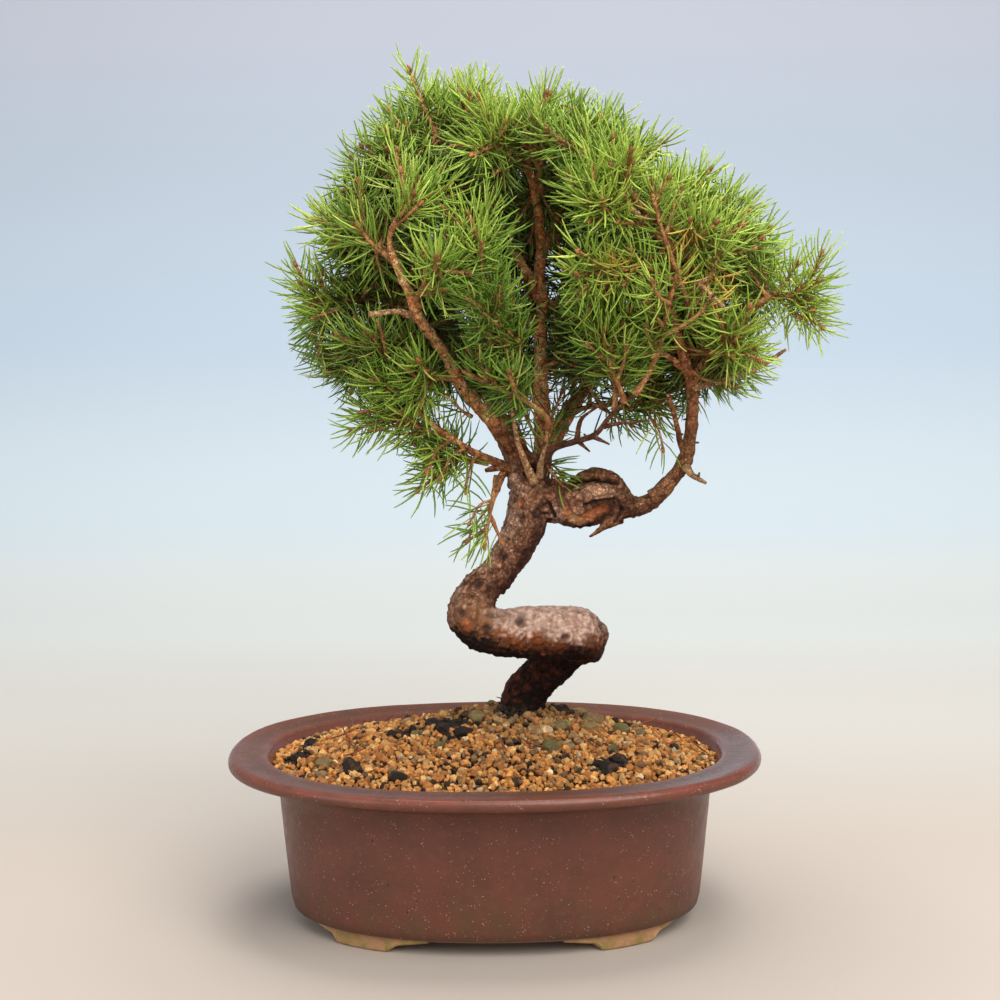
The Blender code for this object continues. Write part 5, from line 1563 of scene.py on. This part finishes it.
def make_trunk():
    """The thick wood, joined and rounded by a voxel remesh, then given its bark, knots and scars."""
    batch = Batch()
    lines, names = thick_lines()
    for line in lines:
        batch.add(*rod(line[:, :3], line[:, 3], 24), (0.0, 0.0, 0.0))
    for root in ROOTS:
        line = smooth_line(root, 2.0)
        batch.add(*rod(line[:, :3], line[:, 3], 12), (0.0, 0.0, 0.0))
    trunk = batch.make("trunk", "bark", "wood", [bark_material()])
    remesh = trunk.modifiers.new("join", "REMESH")
    remesh.mode = "VOXEL"
    remesh.voxel_size = WOOD_VOXEL * MM
    remesh.use_smooth_shade = True
    smooth = trunk.modifiers.new("round", "SMOOTH")
    smooth.iterations = 4
    mesh = apply_modifiers(trunk)
    place = mesh_points(mesh)
    facing = mesh_normals(mesh)
    run, around, radius, twisted = wood_place(place, lines, names)
    out, creases = bark_displacement(place, around, radius, twisted)
    colour = bark_colour(place, facing, radius, run, creases)
    lying = ramp(run, *LYING_FROM) * (1.0 - ramp(run, *LYING_TO))
    rough = 1.0 - 0.80 * lying * ramp(facing[:, 2] + 0.2 * ramp(place[:, 0], 0.0, 16.0), -0.35, 0.1)
    out, colour, rough = add_marks(place, facing, out, colour, rough)
    move_points(mesh, place + facing * out[:, None])
    for old in list(mesh.attributes):
        if old.name == "tint":
            mesh.attributes.remove(old)
    layer = mesh.attributes.new("tint", "FLOAT_COLOR", "POINT")
    layer.data.foreach_set("color", np.column_stack([colour, rough]).astype(np.float32).ravel())
    mesh.materials.clear()
    mesh.materials.append(bark_material())
    mesh.update()


def add_marks(place, facing, out, colour, rough):
    """Knobs, knots, stained patches and the open scar, each marked where it shows from the front.

    The sunken marks and the scar's crevices are dark with painted shade.
    """
    for x, y, z, size, height in KNOBS:
        far = np.linalg.norm(place - (x, y, z), axis=1) / size
        out = out + height * np.exp(-far ** 2)
    front = ramp(-facing[:, 1], 0.05, 0.35)
    # The sunken marks' dark paint is painted shade in their pits
    for x, z, wide, high, height, paint, share in MARKS:
        far = np.hypot((place[:, 0] - x) / wide, (place[:, 2] - z) / high) + 0.22 * NOISE(place + 5.0, 2.0)
        inside = front * np.exp(-far ** 4)
        rim = front * np.exp(-((far - 1.35) / 0.3) ** 2) if height < 0.0 else 0.0
        out = out + height * inside - 0.45 * height * rim
        colour = blend(colour, paint, share * inside)
    # The crevices' dark paint is painted shade in the gaps
    for points, wide, height, smooth in SCARS:
        line = np.array(points)
        far = np.full(len(place), 99.0)
        paint = np.zeros((len(place), 3))
        for a, b in zip(line[:-1], line[1:]):
            span = b[:2] - a[:2]
            along = np.clip((place[:, (0, 2)] - a[:2]) @ span / (span @ span), 0.0, 1.0)
            apart = np.linalg.norm(place[:, (0, 2)] - a[:2] - along[:, None] * span, axis=1) / wide
            closer = apart < far
            far = np.where(closer, apart, far)
            paint = np.where(closer[:, None], blend(a[2:], b[2:], along), paint)
        far = far + 0.25 * NOISE(place + 5.0, 2.6)
        inside = front * (1.0 - ramp(far, 0.75, 1.1))
        rim = 0.6 * front * np.exp(-((far - 1.25) / 0.3) ** 2)
        paint = paint * (1.0 + 0.3 * NOISE.layers(place + 61.0, 2.2, 2))[:, None]
        out = out * (1.0 - smooth * inside) + height * (inside - rim)
        colour = blend(colour, paint, inside)
        rough = rough * (1.0 - smooth * inside)
    return out, colour, rough


def make_limbs():
    """The thinner limbs: tubes with bark, a collar where each one leaves the wood and stubs of old twigs."""
    batch = Batch()
    draw = np.random.default_rng(SEED)
    for name, points in (LIMBS | BARE_TWIGS).items():
        if name in ALWAYS_THICK:
            continue
        line = smooth_line(points, LIMB_FINE_STEP)
        first = thick_points(line, THICK_RADIUS + 0.4)
        line = line[first:]
        if len(line) < 4:
            continue
        far = np.arange(len(line)) * LIMB_FINE_STEP
        radii = line[:, 3] * (1.0 + 0.3 * np.exp(-far / 4.0) * (first == 0))
        nodes = 0.12 * np.exp(-((far % 17.0) - 8.0) ** 2 / 3.0)
        radii = radii * (1.0 + nodes)
        if name in SLIM_TWIGS:
            radii = radii * np.linspace(0.78, 0.50, len(line))
        sway = np.stack([NOISE(line[:, :3] + shift, 13.0) for shift in (0.0, 50.0, 100.0)], 1)
        centre = line[:, :3] + sway * 0.7
        sides = 12 if line[0, 3] > 3.0 else 9
        skin, faces = rod(centre, radii, sides, lambda p: 0.13 * NOISE.layers(p, 2.6, 2))
        around = np.repeat(radii, sides)
        facing = (skin[:-2] - np.repeat(centre, sides, axis=0)) / np.maximum(around, 0.1)[:, None]
        thick = np.repeat(line[:, 3], sides)
        colour = bark_colour(skin[:-2], facing, thick, np.array(BESIDE_TRUNK), np.array(0.0))
        if name in TAN_LIMBS:
            colour = blend(colour, TAN_TWIG, 0.7)
        if name in DARK_LIMBS:
            colour = blend(colour, DARK_TWIG, 0.85)
        batch.add(skin, faces, np.concatenate([colour, colour[:1], colour[-1:]]))
        for i in range(8, len(line) - 4, 9):
            if line[i, 3] < 3.6 and draw.uniform() < 0.7:
                way = across(unit(line[i + 1, :3] - line[i, :3]), draw.uniform(0.0, math.tau))
                stub = centre[i] + np.outer(np.linspace(0.0, line[i, 3] + draw.uniform(0.8, 2.2), 3), way)
                batch.add(*rod(stub, np.array((0.9, 0.75, 0.45)), 6), STUB_COLOUR)
    batch.make("limbs", "bark", "wood", [bark_material()])


def fits_box(point):
    """Whether a point with a needle's room round it stays in the part's box."""
    return np.all(point > BOX_LOW) and np.all(point < BOX_HIGH)


def fill_twigs(plan):
    """Twigs that fill the inside and the back of the crown, each on the nearest spray's main shoot."""
    draw = np.random.default_rng(SEED + 3)
    mains = [bezier(*spray["steer"], np.linspace(0.0, 1.0, 12)) for spray in plan]
    added = [[] for _ in plan]
    ends = np.zeros((0, 3))
    for _ in range(FILL_TRIALS):
        centre, half = LOBES[draw.integers(len(LOBES))]
        way = unit(draw.normal(size=3))
        end = np.array(centre) + np.array(half) * way * FILL_DEPTH * draw.uniform() ** (1 / 3)
        if end[1] < FILL_FROM_Y or end[2] < FILL_FROM_Z:
            continue
        if len(ends) and np.min(np.linalg.norm(ends - end, axis=1)) < FILL_APART:
            continue
        best = None
        for number, main in enumerate(mains):
            far = np.linalg.norm(main[2:-1] - end, axis=1)
            i = int(np.argmin(far))
            if FILL_LENGTHS[0] < far[i] < FILL_LENGTHS[1] and (best is None or far[i] < best[0]):
                best = (far[i], number, main[2 + i])
        if best is None or hides_limb([end, (end + best[2]) / 2]) or not fits_box(end):
            continue
        added[best[1]].append((best[2], end))
        ends = np.concatenate([ends, [end]])
    return added


def spray_shoots(number, spray, fill, draw):
    """A spray's twigs: its main shoot, the planned side shoots and more that fill it out.

    Each is a smooth line, its radius, the bare share at its foot, the distance between its needles and
    whether they are yellow."""
    steer = spray["steer"]
    far = float(np.linalg.norm(steer[3] - steer[0]))
    main = bezier(*steer, np.linspace(0.0, 1.0, max(8, round(far / STEM_STEP))))
    heel = main[0] - unit(main[1] - main[0]) * SHOOT_ROOT
    spacing = NEEDLE_SPACING / SPARSE.get(number, 1.0)
    thick = SHOOT_BASE_RADIUS * (0.55 if number in SPARSE else 0.92)
    shoots = [(np.concatenate([[heel], main]), thick, 0.34, spacing, False)]
    for base, end in spray["sides"]:
        shoots.append((bent_line(base, end, draw), SIDE_SHOOT_RADIUS * 0.85, 0.12, spacing, False))
    for base, end in fill:
        shoots.append((bent_line(base, end, draw), SIDE_SHOOT_RADIUS * 0.8, 0.1, spacing, False))
    for owner, points, radius, bare, space, is_yellow in LEAFY_TWIGS:
        if owner == number:
            line = smooth_line([(*point, radius) for point in points], STEM_STEP)[:, :3]
            shoots.append((line, radius, bare, space, is_yellow))
    turn = draw.uniform(0.0, math.tau)
    for share in () if number in SPARSE else EXTRA_SHARES:
        base, ahead = along_line(main, share)
        for _ in range(EXTRA_TURNS):
            turn += GOLDEN_ANGLE
            way = unit(0.70 * ahead + 0.70 * across(ahead, turn) + np.array((0.0, 0.0, 0.12)))
            length = EXTRA_LENGTH * (1.15 - 0.6 * share) * draw.uniform(0.8, 1.1)
            if crown_depth([base + way * (length + NEEDLE_LENGTHS[0])])[0] > 1.0:
                length *= SHORT_EXTRA
            end = base + way * length
            if not hides_limb([base + 0.6 * (end - base), end, end + 8.0 * way]) and fits_box(end):
                shoots.append((bent_line(base, end, draw), SIDE_SHOOT_RADIUS * 0.8, 0.1, spacing, False))
                break
    return shoots


def bent_line(base, end, draw):
    """A gentle bend from base to end, rising a little towards the tip."""
    span = end - base
    far = float(np.linalg.norm(span))
    aside = draw.normal(size=3) * 0.05 * far
    lift = np.array((0.0, 0.0, 0.07 * far))
    steer = (base, base + span * 0.35 + aside - lift, base + span * 0.7 + aside - lift * 0.6, end)
    return bezier(*steer, np.linspace(0.0, 1.0, max(5, round(far / STEM_STEP))))


def needle_mesh(base, way, rise, length, wide, turn, profile):
    """Many three-sided needles at once. Way is each one's direction and rise the way in which it bends.

    Returns their points, their faces and how many points each needle has."""
    side = np.cross(way, rise)
    side /= np.maximum(np.linalg.norm(side, axis=1), 1e-6)[:, None]
    top = np.cross(side, way)
    rings = []
    for share, thick in profile:
        centre = base + way * (length * share)[:, None]
        centre = centre + rise * (length * NEEDLE_BEND * share * share)[:, None]
        for i in range(3):
            angle = turn + i * math.tau / 3
            out = side * np.cos(angle)[:, None] + top * np.sin(angle)[:, None]
            rings.append(centre + out * (wide * thick)[:, None])
    tip = base + way * length[:, None] + rise * (length * NEEDLE_BEND)[:, None]
    points = np.stack([*rings, tip], 1)
    per = points.shape[1]
    last = (len(profile) - 1) * 3
    caps = np.array([(2, 1, 0)] + [(last + j, last + (j + 1) % 3, per - 1) for j in range(3)])
    start = (np.arange(len(base)) * per)[:, None, None]
    faces = [(grid_faces(len(profile), 3) + start).reshape(-1, 4), (caps + start).reshape(-1, 3)]
    return points.reshape(-1, 3), faces, per


def needles_on(line, bare, spacing, draw):
    """The needles on one twig, in a spiral, fanned out round the bud at its tip.

    Returns where each starts, its direction, the way it bends, its length and its share along the twig."""
    run = line_runs(line)
    total = run[-1]
    count = max(4, int(total * (1.0 - bare) / spacing))
    far = total * (bare + (1.0 - bare) * (np.arange(count) + draw.uniform(0.2, 0.8, count)) / count)
    base, ahead, first, second = (np.stack([np.interp(far, run, v[:, i]) for i in range(3)], 1)
                                  for v in (line, *line_frames(line)))
    angle = GOLDEN_ANGLE * np.arange(count) + draw.uniform(0.0, math.tau) + draw.normal(size=count) * 0.18
    out = np.cos(angle)[:, None] * first + np.sin(angle)[:, None] * second
    share = far / total
    lean = np.radians(np.interp(total - far, *NEEDLE_LEAN))
    lean = lean * np.interp(out[:, 2], (-1.0, 1.0), (1.10, 0.92)) + draw.normal(size=count) * 0.13
    way = np.cos(lean)[:, None] * ahead + np.sin(lean)[:, None] * out
    way /= np.linalg.norm(way, axis=1)[:, None]
    rise = ahead * 0.9 + np.array((0.0, 0.0, 0.45)) + draw.normal(size=(count, 3)) * 0.3
    rise = rise - np.sum(rise * way, axis=1)[:, None] * way
    rise /= np.maximum(np.linalg.norm(rise, axis=1), 1e-6)[:, None]
    length = draw.uniform(*NEEDLE_LENGTHS, count) * np.interp(share, *NEEDLE_GROWTH)
    return base + out * 0.7, way, rise, length, share


def crown_depth(points):
    """About 0 in the middle of the crown's masses and 1 at their outside."""
    points = np.asarray(points)
    depth = np.full(len(points), 9.0)
    for centre, half in LOBES:
        depth = np.minimum(depth, np.linalg.norm((points - centre) / half, axis=1))
    return np.clip(depth, 0.0, 1.3)


def needle_colours(points, share, is_yellow, draw):
    """Each needle's colour: bright outside, at the top and at the tips of twigs, dark inside and below.

    The brightness outside, at the top and on the right is painted light; the darkness inside, below and
    in the hollow is painted shade.
    """
    count = len(points)
    depth = crown_depth(points)
    # Painted light and shade: lighter outside the crown's masses, higher up and to the right, darker in the
    # hollow
    light = ramp(depth, 0.45, 1.10) * 0.60 + ramp(points[:, 2], 225.0, 375.0) * 0.22 + 0.18 * share
    hollow = np.hypot((points[:, 0] - HOLLOW[0]) / HOLLOW[2], (points[:, 2] - HOLLOW[1]) / HOLLOW[3])
    light = light + 0.16 * ramp(points[:, 0], 62.0, 120.0)
    light = light - HOLLOW_SHADE * (1.0 - ramp(hollow, 0.55, 1.1))
    light = light + draw.normal(size=count) * 0.12 + draw.normal() * 0.05
    colour = blend(NEEDLE_SHADED, NEEDLE_GREEN, ramp(light, 0.15, 0.60))
    colour = blend(colour, NEEDLE_LIT, ramp(light, 0.55, 1.05))
    fresh = draw.uniform(size=count) < FRESH_NEEDLES
    colour = np.where(fresh[:, None], blend(colour, NEEDLE_FRESH, 0.7), colour)
    tired = np.full(count, is_yellow)
    for x, z, size in YELLOW_PATCHES:
        near = np.hypot(points[:, 0] - x, points[:, 2] - z) / size
        tired |= (points[:, 1] < -20.0) & (near < 1.0) & (draw.uniform(size=count) < 0.55 * (1.2 - near))
    colour = np.where(tired[:, None], blend(colour, NEEDLE_YELLOW, draw.uniform(0.6, 1.0, count)), colour)
    return colour * draw.uniform(0.82, 1.18, (count, 1))


def bud_mesh(centre, way, length, wide):
    """A small pointed bud, ovoid and closed."""
    line = centre + np.outer(np.array((-0.15, 0.12, 0.45, 0.78, 1.0)) * length, way)
    return rod(line, wide * np.array((0.55, 0.95, 1.0, 0.6, 0.12)), 6)


def make_foliage(number, spray, fill, materials):
    """One leafy spray with its twigs, needles and buds, in place of the part's spray."""
    draw = np.random.default_rng([SEED, 100 + number])
    batch = Batch()
    for line, thick, bare, spacing, is_yellow in spray_shoots(number, spray, fill, draw):
        radii = np.linspace(thick, thick * 0.7, len(line))
        radii[:2] *= 1.25
        skin, faces = rod(line, radii, 6, lambda p: 0.30 * NOISE(p, 1.2))
        batch.add(skin, faces, blend(*TWIG_COLOURS, ramp(NOISE(skin, 1.6), -0.6, 0.6)), 1)
        needles = needles_on(line, bare, spacing, draw)
        middle = needles[0] + needles[1] * (needles[3] * 0.7)[:, None]
        seen = ~shown_limb_mask(middle) | (draw.uniform(size=len(middle)) < 0.25)
        tip = needles[0] + needles[1] * needles[3][:, None]
        seen &= (number != HANGING) | (tip[:, 0] < HANGING_TO) | (line[0, 0] > HANGING_FROM)
        fine = (crown_depth(middle) > FINE_FROM_DEPTH) | (middle[:, 1] < FINE_FROM_Y)
        for chosen, profile in ((seen & fine, FINE_NEEDLE), (seen & ~fine, INNER_NEEDLE)):
            if not np.any(chosen):
                continue
            base, way, rise, length, share = (values[chosen] for values in needles)
            wide = NEEDLE_RADIUS * draw.uniform(0.85, 1.12, len(base))
            turn = draw.uniform(0.0, math.tau, len(base))
            points, faces, per = needle_mesh(base, way, rise, length, wide, turn, profile)
            body = needle_colours(base + way * (length * 0.5)[:, None], share, is_yellow, draw)
            paint = np.repeat(body[:, None], per, axis=1)
            paint[:, :3] = blend(body, NEEDLE_HEEL, 0.6)[:, None]
            paint[:, -1] = blend(body, NEEDLE_FRESH, 0.3)
            batch.add(points, faces, paint.reshape(-1, 3))
        add_buds(batch, line, draw)
    name = f"spray_{number + 1:02d}"
    batch.make(f"foliage_{number + 1:02d}", "needles", name, materials)


def add_buds(batch, line, draw):
    """A bud on the tip of a twig, often with a smaller one or two beside it."""
    way = unit(line[-1] - line[-2])
    size = draw.uniform(0.8, 1.15)
    colour = np.array(BUD_COLOUR) * draw.uniform(0.7, 1.3)
    batch.add(*bud_mesh(line[-1], way, 3.0 * size, 1.05 * size), colour, 2)
    for _ in range(draw.integers(0, 3)):
        aside = across(way, draw.uniform(0.0, math.tau))
        beside = bud_mesh(line[-1] - way * 0.8, unit(way + 0.9 * aside), 2.3 * size, 0.75 * size)
        batch.add(*beside, colour * 0.9, 2)


def shown_limb_mask(points):
    """Which points lie close in front of a limb that shows from the front."""
    hidden = np.zeros(len(points), bool)
    for limb in SHOWN_LINES:
        right, up = (limb[None, :, i] - points[:, None, i] for i in (0, 2))
        near = np.hypot(right, up) < SHOWN_APART
        hidden |= np.any(near & (limb[None, :, 1] - SHOWN_FRONT > points[:, None, 1]), axis=1)
    return hidden


def make_stage():
    """A pale floor that curves up behind into a backdrop, shaded smoothly by its depth and height."""
    bend_from = STAGE_BACK - STAGE_BEND
    rows = [(-STAGE_FRONT, 0.0), (bend_from, 0.0)]
    for i in range(1, STAGE_BEND_STEPS + 1):
        a = math.pi / 2 * i / STAGE_BEND_STEPS
        rows.append((bend_from + STAGE_BEND * math.sin(a), STAGE_BEND * (1.0 - math.cos(a))))
    rows.append((STAGE_BACK, STAGE_HEIGHT))
    points = np.array([(x, y, z) for y, z in rows for x in (-STAGE_HALF_WIDTH, STAGE_HALF_WIDTH)])
    faces = np.arange(len(rows) - 1)[:, None] * 2 + np.array((0, 1, 3, 2))
    look = Look("backdrop", 0.9, 0.1)
    axes = look.node("ShaderNodeSeparateXYZ", Vector=look.place).outputs
    colour = STAGE_FLOOR
    for axis, low, high, beyond in STAGE_SHADES:
        colour = look.mix(look.stretch(axes[axis], low, high), colour, beyond)
    look.set_colour(colour)
    stage = add_object("stage", points, [faces], [look.made])


def add_light(name, place, aim, size, power, colour):
    data = bpy.data.lights.new(name, "AREA")
    data.shape = "DISK"
    data.size = size
    data.energy = power
    data.color = colour
    lamp = bpy.data.objects.new(name, data)
    lamp.location = place
    lamp.rotation_euler = (Vector(aim) - Vector(place)).to_track_quat("-Z", "Y").to_euler()
    bpy.context.scene.collection.objects.link(lamp)


def make_lights():
    aim = (0.0, 0.0, 0.25)
    for name, place, size, power, colour in LIGHTS:
        add_light(name, place, aim, size, power, colour)
    world = bpy.data.worlds.new("studio")
    world.use_nodes = True
    world.node_tree.nodes["Background"].inputs["Color"].default_value = (*WORLD_COLOUR, 1.0)
    world.node_tree.nodes["Background"].inputs["Strength"].default_value = WORLD_STRENGTH
    bpy.context.scene.world = world


def make_camera():
    data = bpy.data.cameras.new("camera")
    data.sensor_width = SENSOR_WIDTH
    data.lens = FOCAL_LENGTH
    camera = bpy.data.objects.new("camera", data)
    turn = Matrix.Rotation(math.pi / 2 - CAMERA_DOWN, 3, "X") @ Matrix.Rotation(-CAMERA_ROLL, 3, "Z")
    camera.matrix_world = Matrix.Translation(Vector((np.array(CAMERA_PLACE) + PLACE) * MM)) @ turn.to_4x4()
    bpy.context.scene.collection.objects.link(camera)
    bpy.context.scene.camera = camera


SHOWN_LINES = [smooth_line(LIMBS[name], 3.0) for name in SHOWN_LIMBS]
BOX_LOW = np.array(cad_box[0]) / MM - PLACE + NEEDLE_ROOM
BOX_HIGH = np.array(cad_box[1]) / MM - PLACE - NEEDLE_ROOM

make_camera()
make_lights()
make_stage()
make_pot()
make_bed()
make_gravel()
make_trunk()
make_limbs()
for node in ("drain_screen_left", "drain_screen_right"):
    for material_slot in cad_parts[node].material_slots:
        material_slot.material = screen_material()

plan = plan_sprays(limb_lines())
foliage_materials = [mottled_material(name) for name in ("needle_skin", "twig_bark", "bud_scales")]
for number, (spray, fill) in enumerate(zip(plan, fill_twigs(plan))):
    make_foliage(number, spray, fill, foliage_materials)

bpy.context.scene.view_settings.view_transform = "Standard"
bpy.context.view_layer.update()
